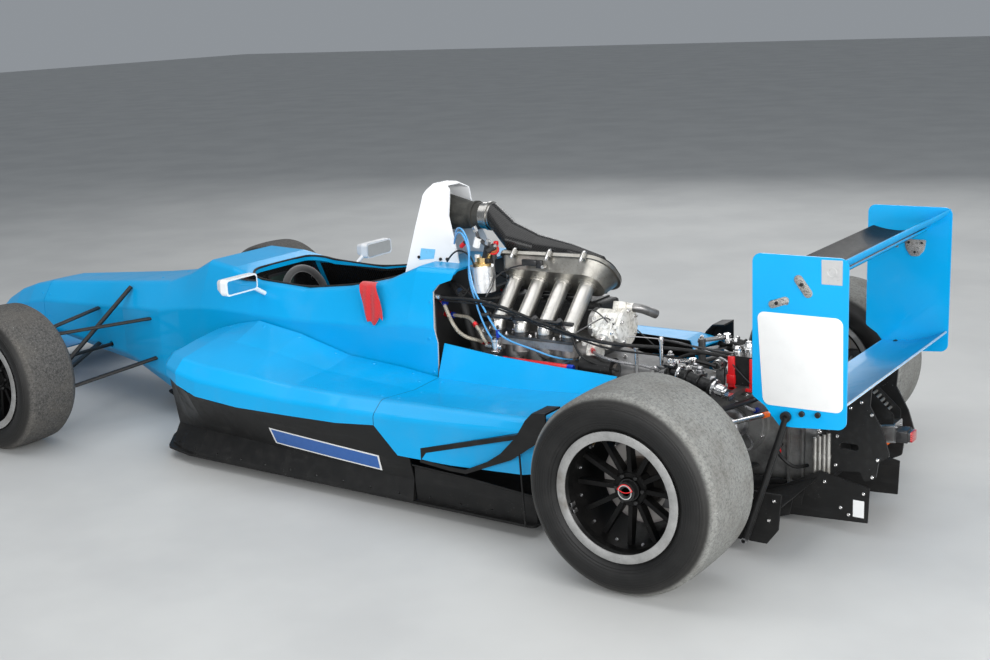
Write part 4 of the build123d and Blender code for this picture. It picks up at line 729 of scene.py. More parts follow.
NODE_FINISHES = {
    # finish: the car's own pieces that have it
    "body": "nose_cone front_wing_main front_wing_flaps front_wing_endplates front_wing_pylons "
            "rear_wing_flap beam_wing",
    "cell": "tub",
    "pod": "sidepod_left sidepod_right",
    "plates": "rear_wing_endplates",
    "blade": "rear_wing_main",
    "supports": "wing_supports",
    "cover": "roll_hoop_cover mirrors",
    "composite": "side_trays flip_ups",
    "underside": "floor diffuser",
    "carbon_side": "airbox_duct seat",
    "carbon_face": "dash",
    "horn": "intake_filter",
    "dark_casting": "engine_block knuckle_left knuckle_right rear_uprights",
    "head": "cylinder_head",
    "cam_cover": "cam_cover",
    "plenum_alloy": "plenum",
    "runners": "intake_runners",
    "clutch": "bell_housing",
    "gear_case": "gearbox",
    "steel": "driveshaft_left driveshaft_right steering_column",
    "black_paint": "front_wishbones rear_wishbones front_pushrods rear_pushrods steering_rack",
    "dampers": "rear_dampers",
    "lens": "rear_light",
    "suede": "steering_wheel",
    "grey_casting": "rack_housing",
    "pad": "headrest",
    "grey_braid": "hoses",
    "webbing": "shoulder_belt",
}


class CAR_OT_finishes(bpy.types.Operator):
    """Gives each of the car's own pieces its finish"""

    bl_idname = "car.finishes"
    bl_label = "Paint, castings and rubber"

    def execute(self, context):
        nodes = frame["nodes"]
        for name, x, y, radius, rim_width, _ in WHEELS:
            end = name.split("_")[0]
            station, high = x * MM + REAR_AXLE, radius * MM
            recipes = {
                "tyre": (tyre_rubber, high, station, end == "rear"),
                "wheel": (wheel_metal, station, high, abs(y) * MM, rim_width * MM),
                "disc": (disc_iron, station, high),
            }
            for part, (maker, *values) in recipes.items():
                key = f"{end}_{part}"
                if key not in materials:
                    f = Finish(key)
                    materials[key] = f.ended(maker(f, *values))
                wear(nodes[f"{'rim' if part == 'wheel' else part}_{name}"], key)
        for key, names in NODE_FINISHES.items():
            for node in names.split():
                wear(nodes[node], key)
        return {"FINISHED"}


# Shapes, each standing on its own origin with its axis along Z

UP, AHEAD, BACK = (0, 0, 1), (1, 0, 0), (-1, 0, 0)
FIXING_TURN = 0.7  # from one fixing of a row to the next, so that no two heads stand alike
THICK_LINE = 5  # radius in millimetres past which a hose may have more sides
SHARP_ANGLE = math.radians(35)


def ended(bm):
    """Ends a shape: closes its doubles, points its faces outwards and gives its mesh."""
    bmesh.ops.remove_doubles(bm, verts=bm.verts[:], dist=1e-6)
    bmesh.ops.recalc_face_normals(bm, faces=bm.faces[:])
    mesh = bpy.data.meshes.new("shape")
    bm.to_mesh(mesh)
    bm.free()
    return mesh


def thickened(bm, thickness):
    """Ends a thin sheet, with its faces turned one way before it gets its thickness."""
    bmesh.ops.recalc_face_normals(bm, faces=bm.faces[:])
    bmesh.ops.solidify(bm, geom=bm.faces[:], thickness=thickness)
    return ended(bm)


def drum(bm, sides, low_radius, high_radius, low, high):
    """A straight or tapered drum between two heights."""
    return bmesh.ops.create_cone(
        bm, cap_ends=True, cap_tris=False, segments=sides, radius1=low_radius, radius2=high_radius,
        depth=high - low, matrix=Matrix.Translation((0, 0, (low + high) / 2)))["verts"]


def top_of(bm):
    """The face that lies highest."""
    return max(bm.faces, key=lambda face: face.calc_center_median().z)


def eased(bm, geom, offset, segments=2, affect="EDGES"):
    """Eases edges, or rounds corners."""
    bmesh.ops.bevel(bm, geom=geom[:], offset=offset, segments=segments, profile=0.5, affect=affect,
                    material=-1)


def only(kind, geom):
    """The points, or the edges, of what an operator gave back."""
    return [item for item in geom if isinstance(item, kind)]


def sunk(bm, face, margin, depth):
    """Sinks a recess into a face."""
    inward = face.normal * -depth
    bmesh.ops.inset_individual(bm, faces=[face], thickness=margin)
    deep = bmesh.ops.extrude_discrete_faces(bm, faces=[face])["faces"][0]
    bmesh.ops.translate(bm, verts=deep.verts[:], vec=inward)


def stacked(width, *drums):
    """Drums on one axis, each by its sides, and its two radii and two ends as shares of a width."""
    bm = bmesh.new()
    for sides, *sizes in drums:
        drum(bm, sides, *(width * size for size in sizes))
    return bm


def hex_head(width):
    """A flanged hexagon head with the thread's end standing out."""
    return ended(stacked(width, (16, 0.74, 0.66, 0, 0.14), (6, 0.577, 0.53, 0.14, 0.68),
                         (8, 0.28, 0.24, 0.66, 0.92)))


def cap_head(width):
    """A round head with a socket."""
    bm = stacked(width, (14, 0.5, 0.5, 0, 0.5))
    eased(bm, top_of(bm).edges, width * 0.06, 1)
    sunk(bm, top_of(bm), width * 0.17, width * 0.22)
    return ended(bm)


def panel_head(width):
    """A low domed panel fastener with a socket."""
    bm = stacked(width, (18, 0.5, 0.46, 0, 0.08), (18, 0.46, 0.3, 0.08, 0.17))
    sunk(bm, top_of(bm), width * 0.1, width * 0.1)
    return ended(bm)


def rivet(width):
    """A low rivet head."""
    return ended(stacked(width, (10, 0.5, 0.36, 0, 0.16), (10, 0.36, 0.12, 0.16, 0.26)))


def nut_shape():
    """The centre lock nut: a round flange under a ring with flats."""
    return ended(stacked(1, (32, 0.031, 0.031, -0.004, 0.002), (12, 0.0285, 0.0272, 0.002, 0.019)))


def rod_end_shape():
    """A rod end: its ring, ball and shank, with the shank along Z."""
    bm = bmesh.new()
    bmesh.ops.create_uvsphere(bm, u_segments=12, v_segments=8, radius=0.0075)
    ring = bmesh.ops.create_cone(bm, cap_ends=True, cap_tris=False, segments=16, radius1=0.0115,
                                 radius2=0.0115, depth=0.009)["verts"]
    bmesh.ops.rotate(bm, verts=ring, cent=(0, 0, 0), matrix=Matrix.Rotation(math.radians(90), 3, "X"))
    drum(bm, 10, 0.0062, 0.0062, 0.009, 0.034)
    return ended(bm)


def turned_shape(profile, steps=28):
    """A shape turned about its axis from (radius, height) points."""
    bm = bmesh.new()
    points = [bm.verts.new((r, 0, z)) for r, z in profile]
    edges = [bm.edges.new(pair) for pair in zip(points, points[1:])]
    bmesh.ops.spin(bm, geom=points + edges, cent=(0, 0, 0), axis=(0, 0, 1), angle=math.tau,
                   steps=steps, use_merge=True, use_duplicate=False)
    return ended(bm)


def band(inner, outer, low, high):
    """The profile of a plain ring, open at its bore."""
    return [(inner, low), (outer, low), (outer, high), (inner, high)]


def cap_shape(radius, height):
    """A bright cap with a rounded top and a knurled foot."""
    return turned_shape([(0, 0), (radius, 0), (radius, height * 0.45), (radius * 0.86, height * 0.5),
                         (radius * 0.82, height * 0.8), (radius * 0.5, height), (0, height)], 18)


def block_shape(x, y, z, edge=0.0, segments=2):
    """A block of a size about its middle, with its edges eased."""
    bm = bmesh.new()
    bmesh.ops.create_cube(bm, size=1)
    bmesh.ops.scale(bm, vec=(x, y, z), verts=bm.verts[:])
    if edge:
        eased(bm, bm.edges, edge, segments)
    return ended(bm)


def plate_shape(outline, thickness, corner=0.0, edge=0.0):
    """A flat plate on Z 0 from its corners, with its corners rounded and its rim eased."""
    bm = bmesh.new()
    base = bm.faces.new([bm.verts.new((x, y, 0)) for x, y in outline])
    if corner:
        eased(bm, base.verts, corner, 5, "VERTICES")
    raised = bmesh.ops.extrude_face_region(bm, geom=[bm.faces[:][0]])["geom"]
    bmesh.ops.translate(bm, verts=only(bmesh.types.BMVert, raised), vec=(0, 0, thickness))
    if edge:
        eased(bm, top_of(bm).edges, edge)
    return ended(bm)


def card_shape(half_width, half_height, thickness, corner=0.0, edge=0.0):
    """A flat oblong plate about its middle."""
    return plate_shape([(-half_width, -half_height), (half_width, -half_height),
                        (half_width, half_height), (-half_width, half_height)], thickness, corner, edge)


def line_shape(points, radius, sides=8, order=3, closed=False):
    """A hose, pipe or wire that runs smoothly by its points."""
    curve = bpy.data.curves.new("line", "CURVE")
    curve.dimensions = "3D"
    spline = curve.splines.new("NURBS")
    spline.points.add(len(points) - 1)
    for point, place in zip(spline.points, points):
        point.co = (*place, 1)
    spline.use_cyclic_u = closed
    spline.order_u = min(order, len(points))
    spline.use_endpoint_u = not closed
    spline.resolution_u = 5
    curve.bevel_depth = radius
    curve.bevel_resolution = max(0, sides // 2 - 2)
    curve.use_fill_caps = not closed
    holder = bpy.data.objects.new("line", curve)
    mesh = bpy.data.meshes.new_from_object(holder)
    bpy.data.objects.remove(holder)
    bpy.data.curves.remove(curve)
    return mesh


def webbing_shape(path, sideways, width, thickness):
    """Flat webbing that follows points, lying across a direction."""
    bm = bmesh.new()
    half = Vector(sideways).normalized() * (width / 2)
    edge = bm.edges.new([bm.verts.new(path[0] - half), bm.verts.new(path[0] + half)])
    for before, after in zip(path, path[1:]):
        grown = bmesh.ops.extrude_edge_only(bm, edges=[edge])["geom"]
        bmesh.ops.translate(bm, verts=only(bmesh.types.BMVert, grown), vec=after - before)
        edge = only(bmesh.types.BMEdge, grown)[0]
    return thickened(bm, thickness)


# Places

def standing(place, upward, turn=0.0):
    """The placing of a shape that stands on a point, facing a direction."""
    aim = Vector(upward).to_track_quat("Z", "Y").to_matrix().to_4x4()
    return Matrix.Translation(place) @ aim @ Matrix.Rotation(turn, 4, "Z")


def upright(x, y, z):
    """The placing of a shape that stands upright on a point given in millimetres."""
    return Matrix.Translation(at(x, y, z))


def on_side(place, side):
    """The placing of a flat shape on an upright plate: along the car, up, and out to a side."""
    turn = Matrix(((1, 0, 0), (0, 0, side), (0, 1, 0)))
    return Matrix.Translation(place) @ turn.to_4x4()


def facing_back(place):
    """The placing of a flat shape that faces the back: across the car, up, and out to the back."""
    turn = Matrix(((0, 0, -1), (1, 0, 0), (0, 1, 0)))
    return Matrix.Translation(place) @ turn.to_4x4()


def clock(turn):
    """A direction in the plane of a wheel, turned from straight up."""
    return Vector((math.sin(turn), 0, math.cos(turn)))


trees = {}


def landed(node, start, toward):
    """Where a straight line first meets one of the car's own pieces, and which way it faces."""
    if node not in trees:
        mesh = frame["nodes"][node].data
        trees[node] = BVHTree.FromPolygons([v.co for v in mesh.vertices],
                                           [list(p.vertices) for p in mesh.polygons])
    hit, normal, _, _ = trees[node].ray_cast(Vector(start), Vector(toward))
    if hit is None:
        raise RuntimeError(f"no surface of {node} on the line from {tuple(start)}")
    if normal.dot(Vector(toward)) > 0:
        normal = -normal
    return hit, normal


def placed(name, data):
    """A new object in the scene."""
    obj = bpy.data.objects.new(name, data)
    bpy.context.scene.collection.objects.link(obj)
    return obj


class Piece:
    """One joined piece in the making, with a finish for each of its parts."""

    def __init__(self, name, body="root"):
        self.name = name
        self.body = body
        self.bm = bmesh.new()
        self.keys = []

    def put(self, shape, placing, key):
        """Joins a copy of a shape, in its place and finish."""
        if key not in self.keys:
            self.keys.append(key)
        copy = shape.copy()
        copy.transform(placing)
        if placing.determinant() < 0:
            copy.flip_normals()
        count = len(copy.polygons)
        copy.polygons.foreach_set("material_index", [self.keys.index(key)] * count)
        self.bm.from_mesh(copy)
        bpy.data.meshes.remove(copy)

    def block(self, low, high, key, edge=0.0):
        """A block between two corners."""
        low, high = Vector(low), Vector(high)
        self.put(block_shape(*(high - low), edge), Matrix.Translation((low + high) / 2), key)

    def rod(self, start, end, radius, key, sides=14, end_radius=None):
        """A straight or tapered rod between two points."""
        line = Vector(end) - Vector(start)
        bm = bmesh.new()
        drum(bm, sides, radius, radius if end_radius is None else end_radius, 0, line.length)
        self.put(ended(bm), standing(start, line), key)

    def line(self, points, radius, key, sides=8, order=3, closed=False):
        """A hose, pipe or wire by its points."""
        self.put(line_shape(points, radius, sides, order, closed), Matrix(), key)

    def routed(self, lines, side=1, thick_sides=8):
        """Hoses and wires from rows of finish, radius and route, or their mirror image."""
        for key, radius, route in lines:
            points = [at(x, y * side, z) for x, y, z in route]
            self.line(points, radius * MM, key, thick_sides if radius > THICK_LINE else 8)

    def turned(self, profile, placing, key, steps=28):
        """A part turned about its axis."""
        self.put(turned_shape(profile, steps), placing, key)

    def fixings(self, shape, places, key):
        """The same small shape at many places, each a point and the way it faces."""
        for index, (place, facing) in enumerate(places):
            self.put(shape, standing(place, facing, index * FIXING_TURN), key)

    def row(self, shape, points, facing, key):
        """The same small shape at many points in millimetres, all facing one way."""
        self.fixings(shape, [(at(*point), facing) for point in points], key)

    def seated(self, shape, node, points, toward, key):
        """The same small shape where lines from many points, in millimetres, meet a piece of the car."""
        for point in points:
            self.put(shape, standing(*landed(node, at(*point), toward)), key)

    def kept(self, *nodes, slot):
        """Ends the piece, on its body and in place of the nodes that it stands for."""
        mesh = bpy.data.meshes.new(self.name)
        self.bm.to_mesh(mesh)
        self.bm.free()
        for key in self.keys:
            mesh.materials.append(finish_of(key))
        mesh.shade_smooth()
        mesh.set_sharp_from_angle(angle=SHARP_ANGLE)
        obj = placed(self.name, mesh)
        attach(obj, self.body)
        if nodes:
            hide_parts(*nodes)
        return obj


# Wheels

SPOKE_BOLTS, BOLT_CIRCLE = 12, 0.1535
DRIVE_PINS, PIN_CIRCLE = 6, 0.040
BRIGHT_LIP = (0.1575, 0.1585, 0.1815, 0.1824)
MOULDED_RINGS = [
    # share of the tyre's radius, half the ring's width
    (0.70, 0.0010), (0.725, 0.0007), (0.865, 0.0009), (0.885, 0.0007),
]


class CAR_OT_wheels(bpy.types.Operator):
    """Adds nuts, clips, drive pins, bolts, valves and the moulded rings of the tyres"""

    bl_idname = "car.wheels"
    bl_label = "Wheel nuts, bolts and rings"

    def execute(self, context):
        bolt = cap_head(0.0085)
        pin = turned_shape([(0, 0), (0.0062, 0), (0.0062, 0.006), (0.0045, 0.008), (0, 0.008)], 14)
        inner, inner_top, outer_top, outer = BRIGHT_LIP
        for name, x, y, radius, rim_width, face in WHEELS:
            outward = Vector((0, 1 if y > 0 else -1, 0))
            centre = at(x, y, radius)
            turning = standing(centre, outward)
            hub = standing(centre + outward * face * MM, outward)
            piece = Piece("wheel_fittings_" + name, "wheel_" + name)
            for i in range(SPOKE_BOLTS):
                arm = math.tau * (i + 0.5) / SPOKE_BOLTS
                place = centre + clock(arm) * BOLT_CIRCLE + outward * (face + 2.6) * MM
                piece.put(bolt, standing(place, outward, arm), "steel")
            piece.put(nut_shape(), hub @ Matrix.Translation((0, 0, 0.002)), "black_fixing")
            piece.turned([(0.0180, 0.020), (0.0180, 0.0262), (0.0205, 0.0262), (0.0205, 0.019)],
                         hub, "bright_steel", 30)
            edge = rim_width / 2 * MM + 0.008
            foot, top = edge - 0.003, edge + 0.0006
            piece.turned([(inner, foot), (inner, edge), (inner_top, top), (outer_top, top),
                          (outer, edge), (outer, foot), (inner, foot)], turning, "lip", 96)
            piece.turned([(0.0, 0.006), (0.0122, 0.006), (0.0122, 0.021), (0.0, 0.021)],
                         hub, "dark_casting", 20)
            piece.line([hub @ Vector((0.023 * math.cos(a), 0.023 * math.sin(a), 0.0255))
                        for a in (0.25, 0.9, 1.6, 2.3, 2.95)], 0.0016, "red", 6)
            piece.line([hub @ Vector(p) for p in ((0.022, 0.006, 0.0255), (0.010, 0.0, 0.0285),
                                                  (-0.010, 0.0, 0.0285), (-0.022, 0.006, 0.0255))],
                       0.0016, "red", 6)
            for i in range(DRIVE_PINS):
                arm = math.tau * i / DRIVE_PINS
                place = Vector((PIN_CIRCLE * math.cos(arm), PIN_CIRCLE * math.sin(arm), -0.0025))
                piece.put(pin, hub @ Matrix.Translation(place), "black_fixing")
            way = clock(0.52)
            valve = centre + way * 0.1545 + outward * (rim_width / 2 - 20) * MM
            piece.rod(valve, valve + outward * 0.020 - way * 0.004, 0.0032, "brass", 10)
            piece.rod(valve + outward * 0.018 - way * 0.0036, valve + outward * 0.027 - way * 0.0054,
                      0.0042, "black_plastic", 10, 0.0036)
            for turn in (1.9, 2.02):
                way = clock(turn)
                weight = centre + way * 0.1552 + outward * (rim_width / 2 - 16) * MM
                piece.put(block_shape(0.020, 0.011, 0.0035, 0.001), standing(weight, -way), "steel")
            piece.kept(slot="steel")
            rings = Piece("tyre_rings_" + name, "wheel_" + name)
            for share, thick in MOULDED_RINGS:
                out = radius * share * MM
                hit, _ = landed("tyre_" + name, centre + Vector((0, 0, out)) + outward * 0.4, -outward)
                reach = (hit - centre).dot(outward)
                rings.turned([(out - thick * 1.6, reach - 0.0006), (out - thick, reach + thick * 0.7),
                              (out + thick, reach + thick * 0.7), (out + thick * 1.6, reach - 0.0006)],
                             turning, name.split("_")[0] + "_tyre", 96)
            rings.kept(slot="tyre_rubber")
        return {"FINISHED"}


# Body panels

DOWN = (0, 0, -1)
INWARD = (0, -1, 0)
SIDE_FASTENERS = [
    # piece, above the first point on the left, above the last, number, way to the surface
    ("sidepod_", (1930, 322, 700), (1080, 318, 700), 6, DOWN),
    ("sidepod_", (952, 330, 700), (952, 560, 700), 3, DOWN),
    ("sidepod_", (1022, 360, 700), (1022, 560, 700), 2, DOWN),
    ("nose_cone", (3285, 400, 330), (3285, 400, 420), 2, INWARD),
    ("tub", (3225, 400, 330), (3225, 400, 420), 2, INWARD),
    ("tub", (1040, 500, 600), (1005, 500, 250), 4, INWARD),
]
TOP_FASTENERS = [
    ("tub", (2560, -70, 900), (2560, 70, 900), 2, DOWN),
    ("tub", (2330, -80, 900), (2330, 80, 900), 2, DOWN),
]
SIDE_RIVETS = [
    ("side_trays", (1990, 800, 60), (460, 800, 60), 14, INWARD),
    ("floor", (1950, 585, -100), (470, 585, -100), 12, UP),
    ("floor", (2250, 190, -100), (470, 190, -100), 14, UP),
]
HOOP_BOLTS = [(1192, 717), (1098, 716), (1070, 718)]
PATCHES = [
    # finish, piece, how far it stands off, corners on the left
    ("pale_blue", "roll_hoop_cover", 0.0005,
     [(1186, 300, 748), (1124, 300, 748), (1128, 300, 716), (1190, 300, 708)]),
    ("panel", "side_trays", 0.0006,
     [(1480, 800, 200), (1000, 800, 176), (1000, 800, 122), (1480, 800, 138)]),
    ("blue_film", "side_trays", 0.0011,
     [(1472, 800, 195), (1007, 800, 171), (1007, 800, 127), (1472, 800, 143)]),
]


def mirrored(point, side):
    """A point or direction on the left, or its image on the right."""
    return (point[0], point[1] * side, point[2])


def both_sides(rows):
    """Rows of fasteners given for the left, then their images on the right."""
    for node, first, last, number, toward in rows:
        for side, hand in ((1, "left"), (-1, "right")):
            yield (node + hand if node.endswith("_") else node, mirrored(first, side),
                   mirrored(last, side), number, mirrored(toward, side))


def row_places(node, first, last, number, toward):
    """The points and facings of one row of fasteners."""
    return [landed(node, at(*first).lerp(at(*last), i / (number - 1)), toward) for i in range(number)]


def laid_on(node, corners, toward, proud, along=16, across=3, thickness=0.0005):
    """A thin sheet that lies on a panel, from its four corners seen along a direction."""
    bm = bmesh.new()
    bmesh.ops.create_grid(bm, x_segments=along, y_segments=across, size=0.5)
    first, second, third, fourth = (at(*corner) for corner in corners)
    for vert in bm.verts:
        u, v = vert.co.x + 0.5, vert.co.y + 0.5
        place, facing = landed(node, first.lerp(second, u).lerp(fourth.lerp(third, u), v), toward)
        vert.co = place + facing * (proud + thickness)
    return thickened(bm, thickness)


def mouth_outline(outside):
    """Points round the cockpit's mouth, a little outside its edge."""
    rear, front, half, corner = 1265, 1952, 205, 90
    points = []
    for cx, cy, start in ((front - corner, half - corner, 0), (rear + corner, half - corner, 90),
                          (rear + corner, corner - half, 180), (front - corner, corner - half, 270)):
        for step in range(5):
            a = math.radians(start + step * 22.5)
            reach = corner + outside
            points.append((cx + reach * math.cos(a), cy + reach * math.sin(a)))
        if start in (0, 180):
            side = 1 if start == 0 else -1
            points += [(x, (half + outside) * side) for x in (1750, 1630, 1510, 1400)[::side]]
    return points


class CAR_OT_bodywork(bpy.types.Operator):
    """Adds the panels' fasteners, rivets, trims and the bare patches"""

    bl_idname = "car.bodywork"
    bl_label = "Fasteners, trims and patches"

    def execute(self, context):
        fastener = panel_head(context.scene.car_sizes.fastener_width)
        piece = Piece("panel_fasteners")
        for row in [*both_sides(SIDE_FASTENERS), *TOP_FASTENERS]:
            piece.fixings(fastener, row_places(*row), "body")
        rivets = rivet(0.009)
        for row in both_sides(SIDE_RIVETS):
            piece.fixings(rivets, row_places(*row), "black_fixing")
        hoop = cap_head(0.011)
        for side in (1, -1):
            piece.seated(hoop, "roll_hoop_cover", [(x, 400 * side, z) for x, z in HOOP_BOLTS],
                         mirrored(INWARD, side), "black_fixing")
        piece.kept(slot="steel")

        trims = Piece("body_trims")
        for key, node, proud, corners in PATCHES:
            for side in (1, -1):
                spots = [mirrored(corner, side) for corner in corners]
                trims.put(laid_on(node, spots, mirrored(INWARD, side), proud), Matrix(), key)
        rim = [landed("tub", at(x, y, 900), DOWN)[0] + Vector((0, 0, 0.001))
               for x, y in mouth_outline(4)]
        trims.line(rim, 0.0045, "rubber", 8, 3, closed=True)
        trims.kept(slot="black_rubber")
        return {"FINISHED"}


# Engine bay

STATIONS = (834, 741, 648, 555)
LUG_STATIONS = (822, 682, 548)
TILT = math.sqrt(0.5)
OUT_OF_PLENUM = Vector((0, -TILT, TILT))
BELL_RING = [(-134, 110), (-146, 210), (-128, 320), (-84, 366), (84, 366), (128, 320), (146, 210),
             (134, 110)]
BOSSES = [
    # ahead, up, radius and height of the lumps on the white water housing
    (484, 560, 11, 12), (452, 570, 9, 10), (478, 520, 13, 8), (446, 548, 15, 7), (420, 562, 10, 12),
    (418, 528, 12, 12), (446, 510, 9, 10), (410, 505, 10, 8), (484, 486, 12, 12), (440, 480, 11, 8),
    (484, 452, 10, 12), (512, 440, 10, 10), (402, 548, 8, 9), (498, 540, 9, 11), (500, 425, 9, 12),
    (512, 486, 9, 9),
]
TALL_BOSS = 9
RIBS = [
    # low end and high end of a rib on the white water housing
    ((486, 446), (486, 470)), ((500, 505), (490, 570)), ((470, 512), (452, 562)),
    ((424, 512), (424, 566)), ((404, 508), (438, 560)), ((430, 530), (492, 530)),
]
INJECTOR = [
    # start and end along its axis, radius, finish
    (0, -0.034, 0.0068, "steel"), (-0.030, -0.050, 0.0090, "black_plastic"),
    (0.016, 0, 0.0085, "bright_steel"),
]
ENGINE_BLOCKS = [
    # two corners, finish, eased edge
    ((514, 236, 425), (744, 250, 439), "red", 0.002), ((540, 186, 428), (550, 238, 434), "steel", 0.001),
    ((720, 186, 428), (730, 238, 434), "steel", 0.001), ((838, 128, 784), (852, 142, 800), "red", 0.003),
    ((862, 132, 726), (888, 158, 742), "black_plastic", 0.002),
    ((598, -62, 589), (806, -52, 597), "black_plastic", 0.002),
]
ENGINE_RODS = [
    # start, end, radius, finish, sides
    ((516, 199, 560), (872, 199, 560), 7, "black_plastic", 10),
    ((514, 243, 432), (492, 243, 432), 9, "blue_anodised", 6),
    ((744, 243, 432), (762, 243, 432), 9, "red_anodised", 6),
    ((690, 80, 716), (690, 98, 716), 6, "bright_steel", 10),
    ((856, 135, 760), (856, 135, 738), 10, "black_plastic", 12),
    ((912, 150, 728), (912, 150, 752), 10, "white_plastic", 12),
    ((882, 140, 734), (868, 132, 757), 9, "brass", 8),
    ((790, -42, 588), (790, -42, 604), 13, "black_plastic", 14),
    ((697, -42, 588), (697, -42, 604), 13, "black_plastic", 14),
    ((604, -42, 588), (604, -42, 604), 13, "black_plastic", 14),
]


def leaning(x, along, away):
    """A point on the plenum, measured along its faces and away from the car's middle."""
    return at(x, (along - away) * TILT, (along + away) * TILT)


def plenum_half(x, front):
    """Half the plenum's width at a station, from that at its front end."""
    return front + 16 * (885 - x) / 423


def circle(radius, angles):
    """Offsets on a circle."""
    return [(radius * math.cos(a), radius * math.sin(a)) for a in angles]


class CAR_OT_engine(bpy.types.Operator):
    """Adds bolts, sensors, clamps, fuel rail and small castings to the engine"""

    bl_idname = "car.engine"
    bl_label = "Engine fittings"

    def execute(self, context):
        width = context.scene.car_sizes.bolt_width
        bolt = hex_head(width)
        small = cap_head(width * 0.8)
        piece = Piece("engine_bolts")
        piece.fixings(hex_head(width * 1.1), [
            (leaning(x, 489 + side * plenum_half(x, 86), 494), OUT_OF_PLENUM)
            for x in LUG_STATIONS for side in (1, -1)], "bright_steel")
        piece.row(bolt, [(x + 46, y, 498) for x in STATIONS for y in (141, 181)] + [(528, 160, 498)],
                  UP, "bright_steel")
        piece.row(bolt, [(x + 46, y, 590) for x in STATIONS for y in (-98, 14)], UP, "bright_steel")
        piece.row(small, [(x, 130.2, z) for x in (905, 700, 600) for z in (402, 442)], (0, 1, 0), "steel")
        piece.row(bolt, [(514, y, z) for y, z in BELL_RING], AHEAD, "bright_steel")
        piece.row(small, [(x, -104.2, z) for x in (560, 650, 740, 830, 920) for z in (82, 112)],
                  INWARD, "steel")
        piece.row(hex_head(width * 0.9),
                  [(392, 62 + y, 535 + z) for y, z in circle(53, (0.5, 1.55, 2.6, 3.7, 5.4))],
                  BACK, "bright_steel")
        piece.row(small, [(900 + x, -60 + y, 612) for x, y in circle(20, (0.3, 2.4, 4.5))], UP, "steel")
        piece.kept(slot="steel")

        fit = Piece("engine_fittings")
        for x in STATIONS:
            base = at(x + 3, 181, 538)
            aim = (at(x + 3, 150, 505) - base).normalized()
            for start, end, radius, key in INJECTOR:
                fit.rod(base + aim * start, base + aim * end, radius, key, 12)
        for x in LUG_STATIONS:
            along = 489 + plenum_half(x, 88)
            top, low = leaning(x, along, 497), leaning(x, along, 462)
            fit.rod(low, top, 0.0062, "bright_steel", 12)
            fit.rod(low, low + (low - top).normalized() * 0.005, 0.0062, "bright_steel", 12, 0.002)
        for low, high, key, edge in ENGINE_BLOCKS:
            fit.block(at(*low), at(*high), key, edge)
        for start, end, radius, key, sides in ENGINE_RODS:
            fit.rod(at(*start), at(*end), radius * MM, key, sides)
        fit.put(block_shape(0.058, 0.014, 0.020, 0.003), upright(745, 88, 726), "black_plastic")
        fit.put(block_shape(0.024, 0.012, 0.026, 0.002), upright(708, 86, 722), "black_plastic")
        plug = standing(at(856, 135, 770), (-0.5, 1, 0.5))
        fit.turned([(0, 0.014), (0.0125, 0.014), (0.0150, 0.010), (0.0150, -0.012), (0, -0.012)],
                   plug, "rust", 20)
        fit.turned(band(0.0150, 0.0190, -0.004, 0.008), plug, "red", 20)
        for x, z, radius, height in BOSSES:
            place, facing = landed("cylinder_head", at(x, 400, z), INWARD)
            radius, top = radius * MM, height * MM
            fit.turned([(radius * 1.25, -0.004), (radius, top * 0.5), (radius * 0.9, top), (0, top)],
                       standing(place, facing), "corroded", 14)
            if height > TALL_BOSS:
                fit.put(hex_head(0.008), standing(place + facing * top, facing), "bright_steel")
        for rib in RIBS:
            spots = [landed("cylinder_head", at(x, 400, z), INWARD) for x, z in rib]
            fit.rod(*(place + facing * 0.002 for place, facing in spots), 0.0045, "corroded", 8)
        fit.kept(slot="bright_casting")
        return {"FINISHED"}


